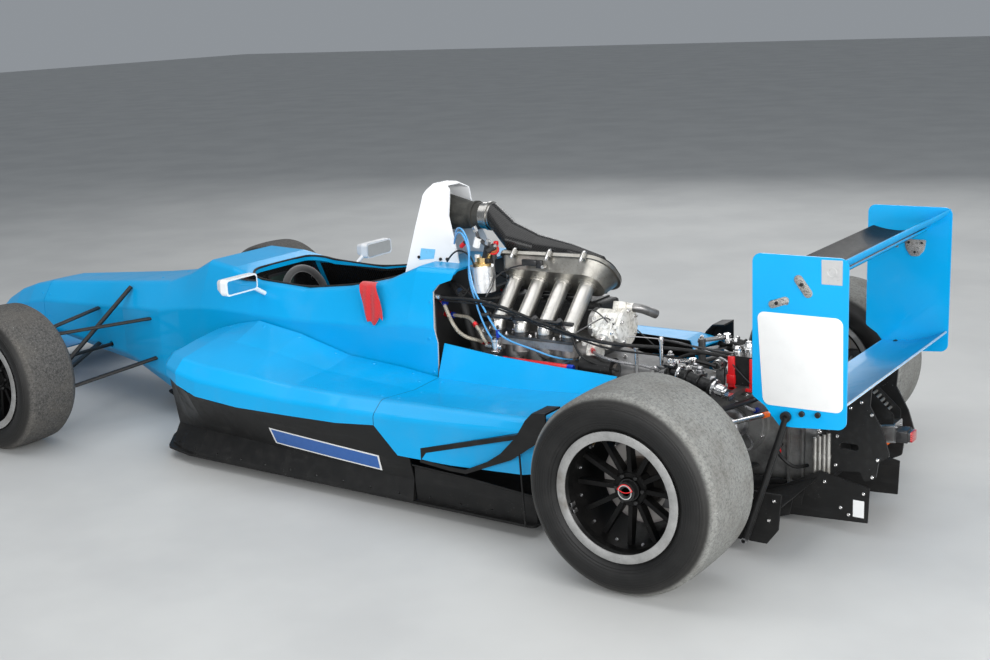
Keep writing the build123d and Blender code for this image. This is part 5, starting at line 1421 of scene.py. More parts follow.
LINES = [
    # finish, radius, route
    ("hose_rubber", 13, [(1050, 118, 640), (1000, 140, 618), (972, 150, 560), (960, 150, 500),
        (940, 150, 440), (927, 150, 396)]),
    ("cream_braid", 6.5, [(1050, 196, 600), (1022, 205, 592), (998, 216, 553), (966, 216, 500),
        (930, 210, 478), (902, 195, 470), (884, 165, 456), (878, 128, 445)]),
    ("cream_braid", 6, [(1050, 168, 540), (985, 172, 540), (930, 190, 545), (893, 210, 530),
        (866, 214, 500), (858, 206, 466), (850, 180, 452)]),
    ("blue_hose", 3.2, [(1034, 104, 792), (994, 156, 834), (944, 194, 850), (916, 202, 822),
        (907, 200, 781), (913, 200, 731), (916, 200, 695), (908, 202, 652), (893, 204, 614),
        (872, 206, 556), (848, 208, 512), (828, 210, 486), (812, 204, 470)]),
    ("blue_hose", 3.2, [(1034, 112, 776), (986, 168, 822), (934, 206, 838), (908, 212, 802),
        (901, 212, 762), (906, 212, 724), (900, 212, 690), (889, 212, 641), (852, 214, 589),
        (824, 214, 542), (791, 212, 500), (744, 212, 482), (666, 210, 466), (604, 204, 448),
        (560, 180, 436), (536, 140, 430)]),
    ("loom", 5.8, [(1050, 226, 615), (985, 226, 612), (927, 222, 615), (838, 220, 611), (736, 220, 591),
        (655, 220, 567), (573, 218, 548), (513, 216, 532), (450, 214, 522), (359, 210, 514),
        (266, 180, 511), (200, 150, 505), (110, 110, 494), (30, 80, 478)]),
    ("rubber", 4.5, [(1050, 150, 660), (990, 170, 655), (945, 190, 640), (905, 186, 612), (870, 150, 604),
        (820, 60, 602), (760, 20, 598), (640, 0, 598), (520, 10, 585)]),
    ("black_plastic", 2.6, [(745, 92, 720), (800, 96, 712), (845, 110, 690), (868, 150, 660),
        (905, 190, 640)]),
    ("black_plastic", 2.4, [(856, 135, 742), (852, 140, 700), (846, 160, 650), (852, 200, 622)]),
    ("loom", 3.4, [(1050, 216, 600), (985, 218, 600), (927, 214, 602), (838, 213, 598), (736, 213, 577),
        (655, 212, 553), (573, 210, 534), (500, 206, 520), (420, 204, 500), (330, 200, 492),
        (240, 170, 486), (150, 130, 470), (60, 110, 452)]),
    ("loom", 3.0, [(1040, 150, 720), (1000, 168, 760), (950, 180, 770), (912, 176, 742), (900, 186, 690),
        (918, 196, 640), (940, 206, 618)]),
    ("black_plastic", 2.2, [(430, 126, 560), (452, 140, 590), (486, 132, 600), (510, 110, 590)]),
    ("steel_braid", 5, [(478, 146, 470), (450, 186, 470), (400, 200, 462), (340, 190, 452), (290, 150, 440),
        (250, 120, 420), (230, 100, 398)]),
    ("steel_braid", 5, [(-92, 150, 346), (-92, 176, 350), (-60, 186, 366), (0, 170, 380), (70, 140, 392),
        (130, 100, 392), (160, 70, 384)]),
    ("loom", 4, [(513, 216, 532), (500, 222, 500), (480, 214, 460), (440, 196, 440), (400, 190, 430),
        (360, 190, 424)]),
    ("black_plastic", 2.2, [(513, 216, 530), (470, 160, 560), (440, 130, 580), (420, 110, 560),
        (404, 118, 530)]),
    ("black_plastic", 2.2, [(30, 80, 478), (10, 112, 470), (-20, 112, 440), (-60, 104, 400),
        (-120, 90, 360), (-200, 70, 330)]),
    ("rubber", 3, [(30, 80, 480), (-10, 70, 500), (-30, 70, 520), (-46, 60, 500)]),
    ("steel", 2.0, [(359, 120, 520), (250, 96, 520), (120, 90, 500), (20, 96, 470), (-30, 110, 430)]),
    ("black_plastic", 2.4, [(1050, -120, 640), (960, -140, 600), (900, -128, 560), (800, -124, 540),
        (650, -122, 536), (520, -118, 520), (420, -90, 470), (330, -60, 420)]),
    ("steel_braid", 6, [(1050, -180, 560), (980, -190, 520), (920, -180, 470), (890, -150, 440),
        (880, -118, 430)]),
    ("hose_rubber", 14, [(1050, -130, 470), (1000, -140, 440), (960, -140, 400), (930, -130, 370)]),
]
FITTINGS = [
    # finish, from, to, radius
    ("red_anodised", (1046, 196, 600), (1020, 204, 593), 10),
    ("blue_anodised", (1022, 203, 594), (1012, 208, 586), 11),
    ("red_anodised", (1046, 168, 540), (1018, 170, 540), 10),
    ("blue_anodised", (1018, 170, 540), (1006, 171, 540), 11),
    ("red_anodised", (889, 176, 461), (880, 150, 451), 9),
    ("blue_anodised", (880, 148, 450), (878, 134, 446), 10),
    ("red_anodised", (896, 208, 531), (886, 212, 524), 9),
    ("red_anodised", (856, 200, 462), (851, 182, 453), 9), ("red", (944, 196, 786), (926, 200, 800), 8),
    ("black_plastic", (926, 200, 800), (918, 200, 806), 7),
    ("steel", (1004, 138, 619), (994, 142, 612), 16), ("steel", (931, 150, 412), (928, 150, 402), 16),
    ("blue_anodised", (802, 210, 518), (801, 210, 492), 7),
    ("black_plastic", (801, 210, 520), (802, 210, 532), 5),
    ("bright_steel", (1046, 226, 615), (1018, 226, 613), 9),
    ("red_anodised", (478, 146, 470), (462, 168, 470), 8),
    ("blue_anodised", (236, 104, 404), (230, 99, 396), 8),
    ("blue_anodised", (-92, 150, 346), (-92, 168, 348), 8),
    ("red_anodised", (150, 78, 387), (160, 70, 384), 8),
    ("red_anodised", (1046, -180, 560), (1018, -185, 543), 10),
    ("black_plastic", (886, 150, 736), (868, 152, 792), 9),
    ("white_plastic", (903, 170, 782), (893, 168, 812), 13),
    ("black_plastic", (893, 168, 810), (868, 152, 786), 7),
    ("black_plastic", (868, 152, 768), (844, 146, 784), 12),
    ("bright_steel", (868, 152, 790), (863, 152, 804), 11), ("steel", (844, 146, 784), (837, 144, 789), 7),
    ("bright_steel", (921, 150, 846), (912, 150, 828), 9),
    ("black_plastic", (912, 150, 830), (893, 166, 812), 6),
]
LOOM_CLIPS = [(900, 613), (820, 607), (735, 591), (655, 567), (573, 548)]


class CAR_OT_lines(bpy.types.Operator):
    """Lays the hoses, fuel lines and wiring with their fittings, and the valve below the runners"""

    bl_idname = "car.lines"
    bl_label = "Hoses, wiring and fittings"

    def execute(self, context):
        piece = Piece("hoses_and_wiring")
        piece.routed(LINES, thick_sides=12)
        for key, start, end, radius in FITTINGS:
            piece.rod(at(*start), at(*end), radius * MM, key, 6)
        for x in (790, 700, 610):
            piece.turned([(0, 0), (0.026, 0), (0.034, 0.010), (0.034, 0.062), (0.028, 0.070), (0, 0.070)],
                         upright(x, 134, 398), "grey_casting", 24)
        for x, z in LOOM_CLIPS:
            piece.turned(band(0.0062, 0.0070, -0.003, 0.003), standing(at(x, 220, z), (1, 0, 0.22)),
                         "black_plastic", 12)
        piece.turned([(0.0, 0), (0.017, 0), (0.017, 0.006), (0.0145, 0.008), (0.0145, 0.036),
                      (0.017, 0.038), (0.017, 0.046), (0.011, 0.049), (0.0, 0.049)],
                     upright(812, 210, 440), "bright_steel", 24)
        piece.rod(at(786, 210, 458), at(850, 210, 458), 0.009, "bright_steel", 6)
        piece.rod(at(812, 210, 455), at(812, 186, 455), 0.009, "steel", 12)
        piece.kept("hoses", slot="black_rubber")
        return {"FINISHED"}


# Gearbox and rear suspension

BELLOWS = [(0.030, 0.0), (0.043, 0.004), (0.043, 0.014), (0.036, 0.017), (0.041, 0.023), (0.033, 0.028),
           (0.038, 0.034), (0.030, 0.039), (0.034, 0.045), (0.026, 0.050), (0.030, 0.056), (0.022, 0.061),
           (0.019, 0.070), (0.016, 0.070)]
BOOT_CLIPS = [(0.010, 0.0440), (0.066, 0.0205)]
FLANGE_BOLTS = [(132, 150), (140, 210), (140, 270), (132, 330), (110, 380), (60, 408), (0, 414)]
LINKAGE_BOLTS = [(217, 112, 474, UP), (165, 200, 468, UP), (185, 176, 468, UP), (228, 112, 436, AHEAD)]
BOX_FRAME = [
    # two corners of each red bar round the control box
    ((10, 40, 386), (22, 46, 490)), ((2, 100, 386), (24, 109, 490)), ((-54, 103, 386), (-46, 108, 488)),
    ((-54, 103, 384), (20, 109, 394)), ((0, 98, 404), (27, 112, 432)), ((17, 40, 384), (23, 108, 394)),
]
BOX_CAPS = [
    # place, radius, height
    ((2, 84, 491), 0.014, 0.026), ((-26, 64, 491), 0.015, 0.040), ((-8, 46, 491), 0.010, 0.018),
]
REAR_LINES = [
    # finish, radius, route on the left
    ("steel_braid", 3.5, [(-40, 112, 250), (-80, 150, 240), (-110, 250, 250), (-130, 380, 300),
                          (-128, 500, 330), (-110, 600, 330), (-96, 640, 322)]),
    ("rubber", 5.5, [(-140, 72, 226), (-146, 110, 226), (-160, 160, 226), (-190, 176, 208),
                     (-214, 150, 180), (-222, 74, 168)]),
]
GEARBOX_LINES = [
    ("black_plastic", 3.6, [(219, 168, 536), (180, 160, 530), (110, 142, 516), (60, 124, 507),
                            (20, 104, 500), (4, 86, 498)]),
    ("rubber", 5.5, [(250, 70, 396), (236, 60, 440), (190, 40, 462), (120, 20, 470), (40, 0, 462),
                     (-40, -10, 440), (-120, -20, 380), (-180, -30, 330)]),
]


class CAR_OT_rear_end(bpy.types.Operator):
    """Adds the control box's frame, the linkages, boots, bolts and hoses behind the engine"""

    bl_idname = "car.rear_end"
    bl_label = "Gearbox and rear suspension fittings"

    def execute(self, context):
        piece = Piece("gearbox_fittings")
        for low, high in BOX_FRAME:
            piece.block(at(*low), at(*high), "red", 0.001)
        for place, radius, height in BOX_CAPS:
            piece.put(cap_shape(radius, height), upright(*place), "bright_steel")
        for side in (1, -1):
            self.linkage(piece, side)
            self.boots_and_bolts(piece, side)
            self.rods(piece, side)
            piece.routed(REAR_LINES, side)
        piece.rod(at(60, -116, 456), at(60, 116, 456), 0.0105, "black_paint", 14)
        piece.block(at(205, 84, 368), at(233, 92, 452), "grey_casting", 0.002)
        piece.block(at(205, 84, 446), at(233, 178, 453), "grey_casting", 0.002)
        piece.rod(at(219, 168, 453), at(219, 168, 532), 0.0062, "bright_steel", 14)
        for x, z in ((307, 497), (219, 531)):
            piece.put(cap_shape(0.009, 0.012), upright(x, 168, z), "bright_steel")
        piece.routed(GEARBOX_LINES)
        for x, y in ((150, 40), (112, -50), (205, -40), (98, 60)):
            place, facing = landed("gearbox", at(x, y, 900), DOWN)
            piece.put(cap_shape(0.013, 0.022), standing(place, facing), "steel")
            piece.put(hex_head(0.010), standing(place + Vector((0.022, 0.010, 0)), facing), "bright_steel")
        piece.rod(at(-120, 0, 366), at(-120, 0, 402), 0.010, "steel", 6)
        piece.kept(slot="steel")
        return {"FINISHED"}

    def linkage(self, piece, side):
        """The roll bar's blade, its rod ends and link, and the bearing that carries it."""
        outward = (0, side, 0)
        bolt, rod_end = hex_head(0.013), rod_end_shape()
        piece.fixings(bolt, [(at(x, y * side, z), facing) for x, y, z, facing in LINKAGE_BOLTS],
                      "bright_steel")
        hub, blade, joint = at(60, 116 * side, 456), at(132, 128 * side, 470), at(160, 182 * side, 476)
        piece.line([hub, hub.lerp(blade, 0.5) + Vector((0, 0, 0.003)), blade], 0.0055, "black_paint", 8)
        piece.put(rod_end, standing(blade, (0.1, side * 0.9, -0.1)), "bright_steel")
        piece.put(rod_end, standing(joint, blade - joint), "bright_steel")
        piece.rod(blade.lerp(joint, 0.25), blade.lerp(joint, 0.75), 0.0048, "bright_steel", 6)
        piece.turned(band(0.0105, 0.0165, -0.008, 0.008), standing(at(60, 104 * side, 456), outward),
                     "bright_steel", 18)
        piece.block(at(46, 82 * side - 6, 366), at(74, 82 * side + 6, 446), "grey_casting", 0.002)
        piece.turned(band(0.0105, 0.019, -0.009, 0.009), standing(at(60, 82 * side, 456), outward),
                     "grey_casting", 18)

    def boots_and_bolts(self, piece, side):
        """The shaft's boots with their clips, and the bolts of the castings round them."""
        toward = (0, -side, 0)
        boot = standing(at(0, 110 * side, 285), (0, side, 0))
        piece.turned(BELLOWS, boot, "rubber", 24)
        for along, radius in BOOT_CLIPS:
            piece.turned(band(radius - 0.002, radius, along - 0.003, along + 0.003), boot, "steel", 24)
        outer = standing(at(0, 560 * side, 285), toward)
        piece.turned(BELLOWS, outer, "rubber", 24)
        piece.turned(band(0.042, 0.044, 0.007, 0.013), outer, "steel", 24)
        eighths = [math.tau * (i + 0.5) / 8 for i in range(8)]
        piece.seated(hex_head(0.009), "gearbox", [(x, 400 * side, 285 + z) for x, z in circle(94, eighths)],
                     toward, "bright_steel")
        piece.seated(hex_head(0.010), "bell_housing", [(150, y * side, z) for y, z in FLANGE_BOLTS], AHEAD,
                     "bright_steel")
        for z in (411, 167):
            piece.row(hex_head(0.012), [(0, 658 * side, z)], UP, "bright_steel")
        piece.seated(cap_head(0.012), "wing_supports",
                     [(x, 400 * side, z) for x, z in ((-302, 150), (-302, 310), (-276, 136), (-276, 296))],
                     toward, "bright_steel")

    def rods(self, piece, side):
        """The ribs behind the gearbox, the bright rod to the upright and the bleed nipple."""
        for x in (-262, -276, -290, -303):
            low, high = at(x, 121 * side, 152), at(x, 121 * side, 296 - (x + 303) * 0.5)
            piece.rod(low, high, 0.0068, "bright_casting", 12)
            piece.rod(low.lerp(high, 0.46), low.lerp(high, 0.54), 0.0084, "bright_casting", 12)
        inner, outer = at(-146, 78 * side, 332), at(-70, 625 * side, 400)
        piece.rod(inner, outer, 0.0072, "bright_steel", 10)
        piece.rod(inner.lerp(outer, 0.17), inner.lerp(outer, 0.22), 0.0098, "orange", 6)
        piece.rod(at(-150, 130 * side, 226), at(-160, 150 * side, 226), 0.0085, "red_anodised", 6)


# Rear wing

PLATE_FACE = 457.0  # the end plate's outer face, to the left
END_PANEL = [(-224, 727), (-463, 727), (-467, 470), (-242, 468)]
PANEL_MIDDLE = (-345, 600)
BRACKETS = [
    # middle along and up, length, width, turn in degrees
    (-354, 805, 68, 25, 53), (-286, 756, 60, 21, -20),
]
INNER_BRACKET = [(-330, 781), (-399, 781), (-394, 748), (-376, 727), (-350, 727), (-334, 752)]
INNER_MIDDLE = (-364, 755)
SMALL_BOLTS = [
    # piece, how far out the line starts, places along and up
    ("wing_supports", 300, [(-326, 200), (-368, 381), (-431, 368), (-451, 235), (-330, 290),
                            (-352, 408), (-400, 402), (-436, 180)]),
    ("diffuser", 300, [(-374, 60), (-350, 78), (-418, 132), (-300, 150)]),
    ("diffuser", 600, [(-255, 172), (-240, 112), (-190, 172)]),
]


def about(outline, middle):
    """An outline in millimetres, measured from its middle."""
    return [((x - middle[0]) * MM, (z - middle[1]) * MM) for x, z in outline]


class CAR_OT_rear_wing(bpy.types.Operator):
    """Adds the end plates' bare panels, brackets, bolts, tape and stays, and the beam's edge"""

    bl_idname = "car.rear_wing"
    bl_label = "Rear wing fittings"

    def execute(self, context):
        piece = Piece("rear_wing_fittings")
        for side in (1, -1):
            self.end_plate(piece, side)
            for node, out, places in SMALL_BOLTS:
                piece.seated(cap_head(0.010), node, [(x, out * side, z) for x, z in places],
                             (0, -side, 0), "bright_steel")
            piece.put(card_shape(0.0165, 0.026, 0.0006), on_side(at(-403, 138 * side, 82), side), "panel")
        piece.block(at(-474, -446, 488.5), at(-469, 446, 493), "white_plastic", 0.0006)
        half = Vector((0, 0.030, 0))
        for i in range(6):
            middle = at(-382, 0, 408).lerp(at(-436, 0, 352), i / 5)
            piece.rod(middle - half, middle + half, 0.0042, "bright_casting", 8)
        fin = plate_shape([(-0.048, -0.055), (0.042, -0.055), (0.046, 0.062), (0.026, 0.064),
                           (-0.048, -0.004)], 0.002, 0.006)
        for y in (-32, 30):
            piece.put(fin, on_side(at(-418, y, 352), 1), "black_paint")
        piece.kept(slot="body_white")

        lamp = Piece("rear_lamp")
        lamp.put(card_shape(0.026, 0.020, 0.034, 0.008, 0.003), facing_back(at(-470, 0, 282)),
                 "black_plastic")
        lamp.put(card_shape(0.022, 0.016, 0.014, 0.006, 0.002), facing_back(at(-503.5, 0, 282)), "lens")
        for y in (-20, 20):
            lamp.put(cap_head(0.006), standing(at(-470, y, 308), BACK), "steel")
        lamp.kept("rear_light", slot="red_lens")
        return {"FINISHED"}

    def end_plate(self, piece, side):
        """What one end plate carries: panel, tape, brackets, bolts and the stay below it."""
        outward = (0, side, 0)
        face = PLATE_FACE * side
        panel = plate_shape(about(END_PANEL, PANEL_MIDDLE), 0.0009, 0.020, 0.0003)
        piece.put(panel, on_side(at(PANEL_MIDDLE[0], face, PANEL_MIDDLE[1]), side), "panel")
        tape = plate_shape([(-0.028, -0.033), (0.028, -0.033), (0.029, 0.032), (-0.028, 0.033)], 0.0007)
        spot = on_side(at(-432, face, 848), side)
        piece.put(tape, spot, "tape")
        piece.turned([(0.011, 0.0005), (0.0115, 0.0012), (0.0125, 0.0012), (0.013, 0.0005)],
                     spot, "tape", 24)
        for x, z, length, width, turn in BRACKETS:
            half, across = length * MM / 2, width * MM / 2
            spot = on_side(at(x, face, z), side) @ Matrix.Rotation(math.radians(turn), 4, "Z")
            piece.put(card_shape(half, across, 0.0022, across * 0.98, 0.0008), spot, "mesh_metal")
            piece.put(cap_head(0.010), spot @ Matrix.Translation((0.006, 0, 0.0015)), "black_fixing")
        for x, z in ((-311, 443), (-354, 455), (-399, 458)):
            piece.put(cap_head(0.016), on_side(at(x, face, z), side), "black_fixing")
        top, foot = at(-313, 470 * side, 444), at(-174, 426 * side, 46)
        piece.rod(foot, top, 0.0082, "black_paint", 16)
        piece.turned(band(0.006, 0.015, -0.004, 0.006), standing(at(-311, 466 * side, 443), outward),
                     "black_paint", 20)
        piece.turned(band(0.006, 0.0085, -0.012, 0.012), standing(foot, outward), "steel", 16)
        inner = plate_shape(about(INNER_BRACKET, INNER_MIDDLE), 0.003, 0.006, 0.0008)
        spot = on_side(at(INNER_MIDDLE[0], 451 * side, INNER_MIDDLE[1]), -side)
        piece.put(inner, spot, "mesh_metal")
        for x, z in ((-0.022, 0.016), (0.020, 0.016), (0.0, -0.014)):
            piece.put(cap_head(0.008), spot @ Matrix.Translation((x, z, 0.003)), "black_fixing")


# Cockpit

WEBBING_THICKNESS = 0.0022
DASH_SWITCHES = [
    # to the left, up, radius, finish
    (-190, 560, 9, "red"), (-190, 530, 7, "black_plastic"), (190, 560, 8, "black_plastic"),
    (190, 530, 7, "white_plastic"),
]
WHEEL_BUTTONS = [
    # across and up the steering wheel's face, finish
    (-0.040, 0.016, "red"), (0.040, 0.016, "blue_anodised"), (-0.040, -0.010, "white_plastic"),
    (0.040, -0.010, "black_plastic"), (0, 0.022, "orange"),
]


class CAR_OT_cockpit(bpy.types.Operator):
    """Adds the harness, wheel controls, dash, gear lever, mirror glass and coolers"""

    bl_idname = "car.cockpit"
    bl_label = "Cockpit and coolers"

    def execute(self, context):
        width = context.scene.car_sizes.strap_width
        straps = Piece("harness_straps")
        for side in (1, -1):
            shoulder = [at(1326, 62 * side, 534)]
            for z in (520, 500, 440, 380, 320, 270):
                place, facing = landed("seat", at(1500, (62 - (500 - z) * 0.09) * side, z), BACK)
                shoulder.append(place + facing * 0.004)
            shoulder += [at(1392, 34 * side, 226), at(1412, 28 * side, 200), at(1428, 22 * side, 178)]
            lap = [at(x, y * side, z) for x, y, z in (
                (1440, 144, 170), (1446, 120, 158), (1448, 80, 152), (1444, 44, 160), (1436, 24, 170))]
            for path, sideways in ((shoulder, (0, 1, 0)), (lap, (0.8, 0, 0.6))):
                straps.put(webbing_shape(path, sideways, width, WEBBING_THICKNESS), Matrix(), "webbing")
        made = straps.kept(slot="red_webbing")
        self.fittings()
        self.wheel_face()
        self.coolers()
        return {"FINISHED"}

    def fittings(self):
        """The harness buckle, mirror glass, dash and gear lever."""
        fit = Piece("cockpit_fittings")
        buckle = standing(at(1432, 0, 172), (0.75, 0, 0.66))
        fit.turned([(0, -0.008), (0.030, -0.008), (0.032, -0.004), (0.032, 0.004), (0.027, 0.010),
                    (0, 0.010)], buckle, "black_paint", 28)
        fit.put(block_shape(0.044, 0.012, 0.012, 0.003), buckle @ Matrix.Translation((0, 0, 0.014)), "red")
        for side in (1, -1):
            place, facing = landed("seat", at(1500, 56 * side, 440), BACK)
            fit.put(block_shape(0.056, 0.030, 0.006, 0.001), standing(place + facing * 0.008, facing),
                    "steel")
            fit.put(card_shape(0.072, 0.024, 0.0012, 0.010), facing_back(at(1783.6, 389 * side, 626)),
                    "glass")
        for y, z, radius, key in DASH_SWITCHES:
            place, facing = landed("dash", at(1700, y, z), AHEAD)
            fit.rod(place, place + facing * 0.010, radius * MM, key, 14)
            fit.rod(place, place + facing * 0.002, radius * 1.5 * MM, "steel", 6)
        place, _ = landed("dash", at(1700, 0, 556), AHEAD)
        fit.put(card_shape(0.075, 0.032, 0.016, 0.008, 0.002), facing_back(place), "black_plastic")
        fit.put(card_shape(0.062, 0.022, 0.001, 0.003), facing_back(place - Vector((0.016, 0, 0))),
                "screen")
        base, _ = landed("tub", at(1690, 0, 400), INWARD)
        knob = base + Vector((-0.02, 0.045, 0.085))
        fit.block(base - Vector((0.04, 0.004, 0.02)), base + Vector((0.04, 0.020, 0.02)), "grey_casting",
                  0.003)
        fit.line([base + Vector((0, 0.012, 0)), base + Vector((-0.004, 0.034, 0.03)), knob], 0.006,
                 "steel", 10)
        fit.turned([(0, -0.014), (0.010, -0.012), (0.015, 0.002), (0.013, 0.013), (0, 0.019)],
                   standing(knob, (-0.2, 0.2, 1)), "black_plastic", 20)
        fit.kept(slot="steel")

    def wheel_face(self):
        """The steering wheel's plate, buttons and hub, which turn with it."""
        wheel = Piece("steering_wheel_fittings", "steering_wheel_body")
        shaft = (at(2740, 0, 264) - at(1840, 0, 500)).normalized()
        centre = standing(at(1840, 0, 500), -shaft)
        across = centre.to_3x3() @ Vector((1, 0, 0))
        if abs(across.y) <= 0.7:
            centre = centre @ Matrix.Rotation(math.radians(90), 4, "Z")
        plate = plate_shape([(-0.058, -0.030), (0.058, -0.030), (0.062, 0.034), (-0.062, 0.034)], 0.008,
                            0.014, 0.002)
        wheel.put(plate, centre @ Matrix.Translation((0, 0, 0.012)), "carbon_face")
        for x, y, key in WHEEL_BUTTONS:
            wheel.turned([(0, 0.006), (0.0055, 0.006), (0.0062, 0.004), (0.0062, 0), (0.0095, 0),
                          (0.0095, -0.001)], centre @ Matrix.Translation((x, y, 0.019)), key, 16)
        wheel.turned([(0, 0.004), (0.014, 0.004), (0.017, 0), (0.017, -0.004)],
                     centre @ Matrix.Translation((0, -0.004, 0.021)), "steel", 24)
        wheel.kept(slot="black_rubber")

    def coolers(self):
        """The coolers in the pods, each a core between two tanks."""
        cores = Piece("radiators")
        for side in (1, -1):
            near, far = sorted((330 * side, 560 * side))
            cores.block(at(1462, near, 232), at(1504, far, 366), "core", 0.002)
            for y, top, radius in ((326, 362, 0.020), (564, 350, 0.018)):
                cores.rod(at(1483, y * side, 236), at(1483, y * side, top), radius, "bright_casting", 16)
        cores.kept(slot="bright_casting")


# Soft pieces

PAD_GROWTH = 0.008  # how far the filling may swell the pad
FILLING_FRAMES = 20
CLOTH_DROP = [
    # way down the cloth, then its middle ahead, to the left and up, and half its width
    (0, 1298, 246, 646, 30), (18, 1296, 262, 648, 33), (36, 1292, 276, 641, 37), (60, 1284, 284, 620, 39),
    (90, 1274, 288, 592, 40), (120, 1262, 292, 562, 40), (150, 1252, 297, 536, 38),
    (168, 1248, 299, 520, 34),
]


def settle(obj):
    """Applies an object's modifiers to its mesh."""
    shown = bpy.context.evaluated_depsgraph_get()
    mesh = bpy.data.meshes.new_from_object(obj.evaluated_get(shown))
    obj.modifiers.clear()
    old = obj.data
    obj.data = mesh
    bpy.data.meshes.remove(old)


def smoothed(obj):
    """Adds one level of smoothing to an object."""
    smooth = obj.modifiers.new("smooth", "SUBSURF")
    smooth.levels = smooth.render_levels = 1


def sewn_pad(low, high, growth):
    """A pad swollen by its filling inside a fixed cover, from a slightly smaller block."""
    size = high - low
    mesh = block_shape(size.x - growth, size.y - growth, size.z - growth, 0.014, 4)
    mesh.transform(Matrix.Translation((low + high) / 2))
    pad = placed("headrest_pad", mesh)
    scene = bpy.context.scene
    remesh = pad.modifiers.new("even", "REMESH")
    remesh.mode = "VOXEL"
    remesh.voxel_size = 0.005
    settle(pad)
    rest = [v.co.copy() for v in pad.data.vertices]
    filling = pad.modifiers.new("filling", "CLOTH")
    filling.settings.use_pressure = True
    filling.settings.uniform_pressure_force = 4
    filling.settings.effector_weights.gravity = 0
    filling.point_cache.frame_start = 1
    filling.point_cache.frame_end = FILLING_FRAMES
    for step in range(1, FILLING_FRAMES + 1):
        scene.frame_set(step)
    settle(pad)
    for vert, start in zip(pad.data.vertices, rest):
        moved = vert.co - start
        if moved.length > growth / 2:
            vert.co = start + moved.normalized() * growth / 2
    scene.frame_set(1)
    smoothed(pad)
    settle(pad)
    pad.data.shade_smooth()
    return pad


def hung_cloth():
    """The cloth's mesh, rippled and drooping at its lower edge, its area and its way down."""
    bm = bmesh.new()
    bmesh.ops.create_grid(bm, x_segments=14, y_segments=30, size=0.5)
    drop = CLOTH_DROP[-1][0]
    for vert in bm.verts:
        across, down = vert.co.x, (vert.co.y + 0.5) * drop
        last = next(i for i, row in enumerate(CLOTH_DROP) if down <= row[0] + 1e-6)
        row, before = CLOTH_DROP[last], CLOTH_DROP[max(0, last - 1)]
        share = 0 if last == 0 else (down - before[0]) / (row[0] - before[0])
        x, y, z, half = (b + (a - b) * share for a, b in zip(row[1:], before[1:]))
        ripple = math.sin(across * 13 + down * 0.05) * 2.6 * min(1.0, down / 90)
        edge = max(0.0, down - 100) * (0.16 * math.cos(across * 9.0 + 0.6) - 0.34 * across)
        vert.co = at(x - across * half * 2, y + ripple, z - edge)
    area = sum(face.calc_area() for face in bm.faces)
    return thickened(bm, 0.0025), area, drop * MM * 1.06


class CAR_OT_soft(bpy.types.Operator):
    """Makes the headrest's pad and the red cloth that hangs over the cockpit's side"""

    bl_idname = "car.soft"
    bl_label = "Headrest and red cloth"

    def execute(self, context):
        low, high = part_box("headrest")
        pad = sewn_pad(Vector(low), Vector(high), PAD_GROWTH)
        wear(pad, "pad")
        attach(pad, "root")
        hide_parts("headrest")

        mesh, area, long = hung_cloth()
        cloth = placed("red_cloth", mesh)
        smoothed(cloth)
        mesh.shade_smooth()
        wear(cloth, "webbing")
        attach(cloth, "root")
        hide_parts("shoulder_belt")
        return {"FINISHED"}


# Stage

FLOOR_TONES = (0.46, 0.465, 0.46), (0.52, 0.525, 0.515)
AIR_COLOUR, AIR_STRENGTH = (0.80, 0.86, 0.93, 1), 0.34
LIGHTS = [
    # name, place, aim, size, power
    ("overhead", (-0.2, 0.6, 4.6), (0.0, 0.0, 0.3), (7.0, 4.0), 158),
    ("left_window", (-2.0, 6.5, 2.2), (-0.3, 0.0, 0.4), (7.0, 2.6), 250),
    ("rear_window", (-6.5, 2.6, 2.2), (-1.0, 0.0, 0.5), (4.0, 2.6), 352),
    ("far_side", (1.5, -6.0, 3.2), (0.0, 0.0, 0.4), (6.0, 2.5), 120),
]
CAMERA_PLACE = (-3.27972502, 3.75702911, 1.55519183)
YAW, PITCH, ROLL = -0.961147101, -0.23574555, -0.0450904055
SENSOR_WIDTH = 36
PHOTO_WIDTH, FOCAL_LENGTH = 990, 1345.11  # in the photograph's pixels


def camera_turn():
    """How the camera is turned, from its yaw, pitch and roll."""
    look = Vector((math.cos(YAW) * math.cos(PITCH), math.sin(YAW) * math.cos(PITCH), math.sin(PITCH)))
    right = look.cross(Vector((0, 0, 1))).normalized()
    over = right.cross(look)
    tilted = right * math.cos(ROLL) + over * math.sin(ROLL)
    upward = over * math.cos(ROLL) - right * math.sin(ROLL)
    return Matrix((tilted, upward, -look)).transposed().to_4x4()


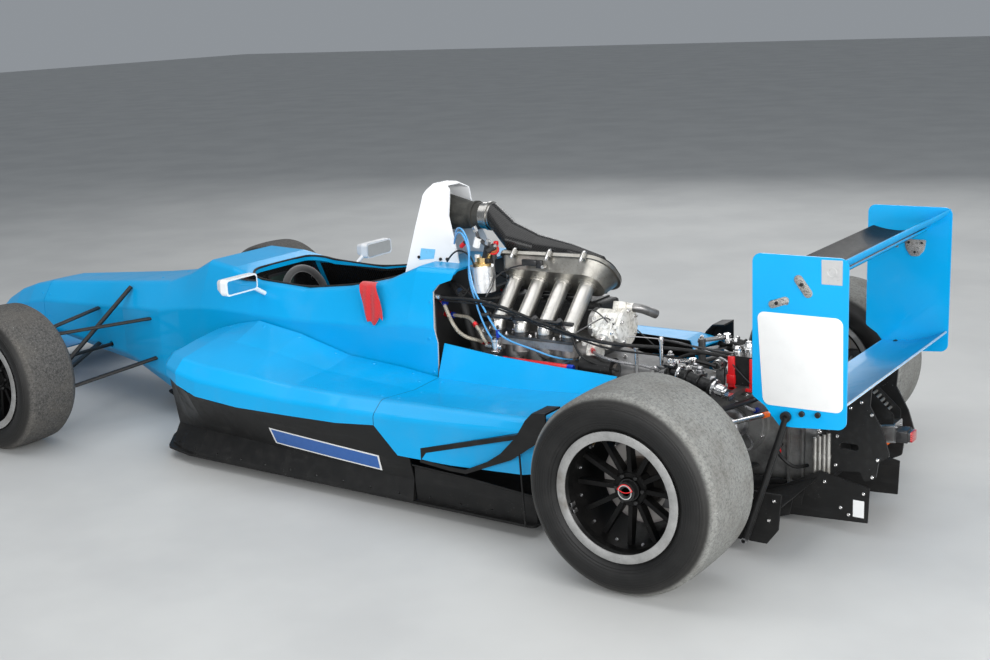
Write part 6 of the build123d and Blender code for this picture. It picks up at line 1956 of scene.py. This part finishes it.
class CAR_OT_stage(bpy.types.Operator):
    """Sets the floor, the soft lights and the camera"""

    bl_idname = "car.stage"
    bl_label = "Floor, lights and camera"

    def execute(self, context):
        scene = context.scene
        scene.view_settings.view_transform = "Standard"
        bm = bmesh.new()
        bmesh.ops.create_grid(bm, x_segments=2, y_segments=2, size=40)
        mesh = bpy.data.meshes.new("floor_sheet")
        bm.to_mesh(mesh)
        bm.free()
        ground = placed("floor_sheet", mesh)
        f = Finish("pale_floor")
        shade = f.mixed(f.cloud(1.6, 4.0).between(0.3, 0.7), *FLOOR_TONES)
        mesh.materials.append(f.ended(f.surface(shade, 0.62)))
        scene.world = bpy.data.worlds.new("studio_air")
        scene.world.use_nodes = True
        air = scene.world.node_tree.nodes["Background"]
        air.inputs[0].default_value = AIR_COLOUR
        air.inputs[1].default_value = AIR_STRENGTH
        for name, place, aim, size, power in LIGHTS:
            data = bpy.data.lights.new(name, "AREA")
            data.shape = "RECTANGLE"
            data.size, data.size_y = size
            data.energy = power
            toward = (Vector(aim) - Vector(place)).to_track_quat("-Z", "Y")
            placed(name, data).matrix_world = Matrix.Translation(place) @ toward.to_matrix().to_4x4()
        lens = bpy.data.cameras.new("camera")
        lens.sensor_fit = "HORIZONTAL"
        lens.sensor_width = SENSOR_WIDTH
        lens.lens = SENSOR_WIDTH * FOCAL_LENGTH / PHOTO_WIDTH
        lens.clip_end = 200
        scene.camera = placed("camera", lens)
        scene.camera.matrix_world = Matrix.Translation(CAMERA_PLACE) @ camera_turn()
        return {"FINISHED"}


STEPS = [CAR_OT_stage, CAR_OT_finishes, CAR_OT_wheels, CAR_OT_bodywork, CAR_OT_engine, CAR_OT_lines,
         CAR_OT_rear_end, CAR_OT_rear_wing, CAR_OT_cockpit, CAR_OT_soft]
CLASSES = [CarSizes, CarColours] + STEPS


class CAR_PT_panel(bpy.types.Panel):
    """Lists the car's sizes, colours and steps."""

    bl_idname = "CAR_PT_panel"
    bl_label = "Racing car"
    bl_space_type = "VIEW_3D"
    bl_region_type = "UI"
    bl_category = "Racing car"

    def draw(self, context):
        layout = self.layout
        for group in (context.scene.car_sizes, context.scene.car_colours):
            for key in group.bl_rna.properties.keys():
                if key not in ("rna_type", "name"):
                    layout.prop(group, key)
        for step in STEPS:
            layout.operator(step.bl_idname)


def register():
    for kind in CLASSES + [CAR_PT_panel]:
        bpy.utils.register_class(kind)
    bpy.types.Scene.car_sizes = bpy.props.PointerProperty(type=CarSizes)
    bpy.types.Scene.car_colours = bpy.props.PointerProperty(type=CarColours)


def unregister():
    del bpy.types.Scene.car_colours
    del bpy.types.Scene.car_sizes
    for kind in reversed(CLASSES + [CAR_PT_panel]):
        bpy.utils.unregister_class(kind)


def main():
    """Builds the dressed car."""
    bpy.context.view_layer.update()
    register()
    for step in STEPS:
        group, call = step.bl_idname.split(".")
        getattr(getattr(bpy.ops, group), call)()
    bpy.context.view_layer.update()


if __name__ == "__main__":
    main()
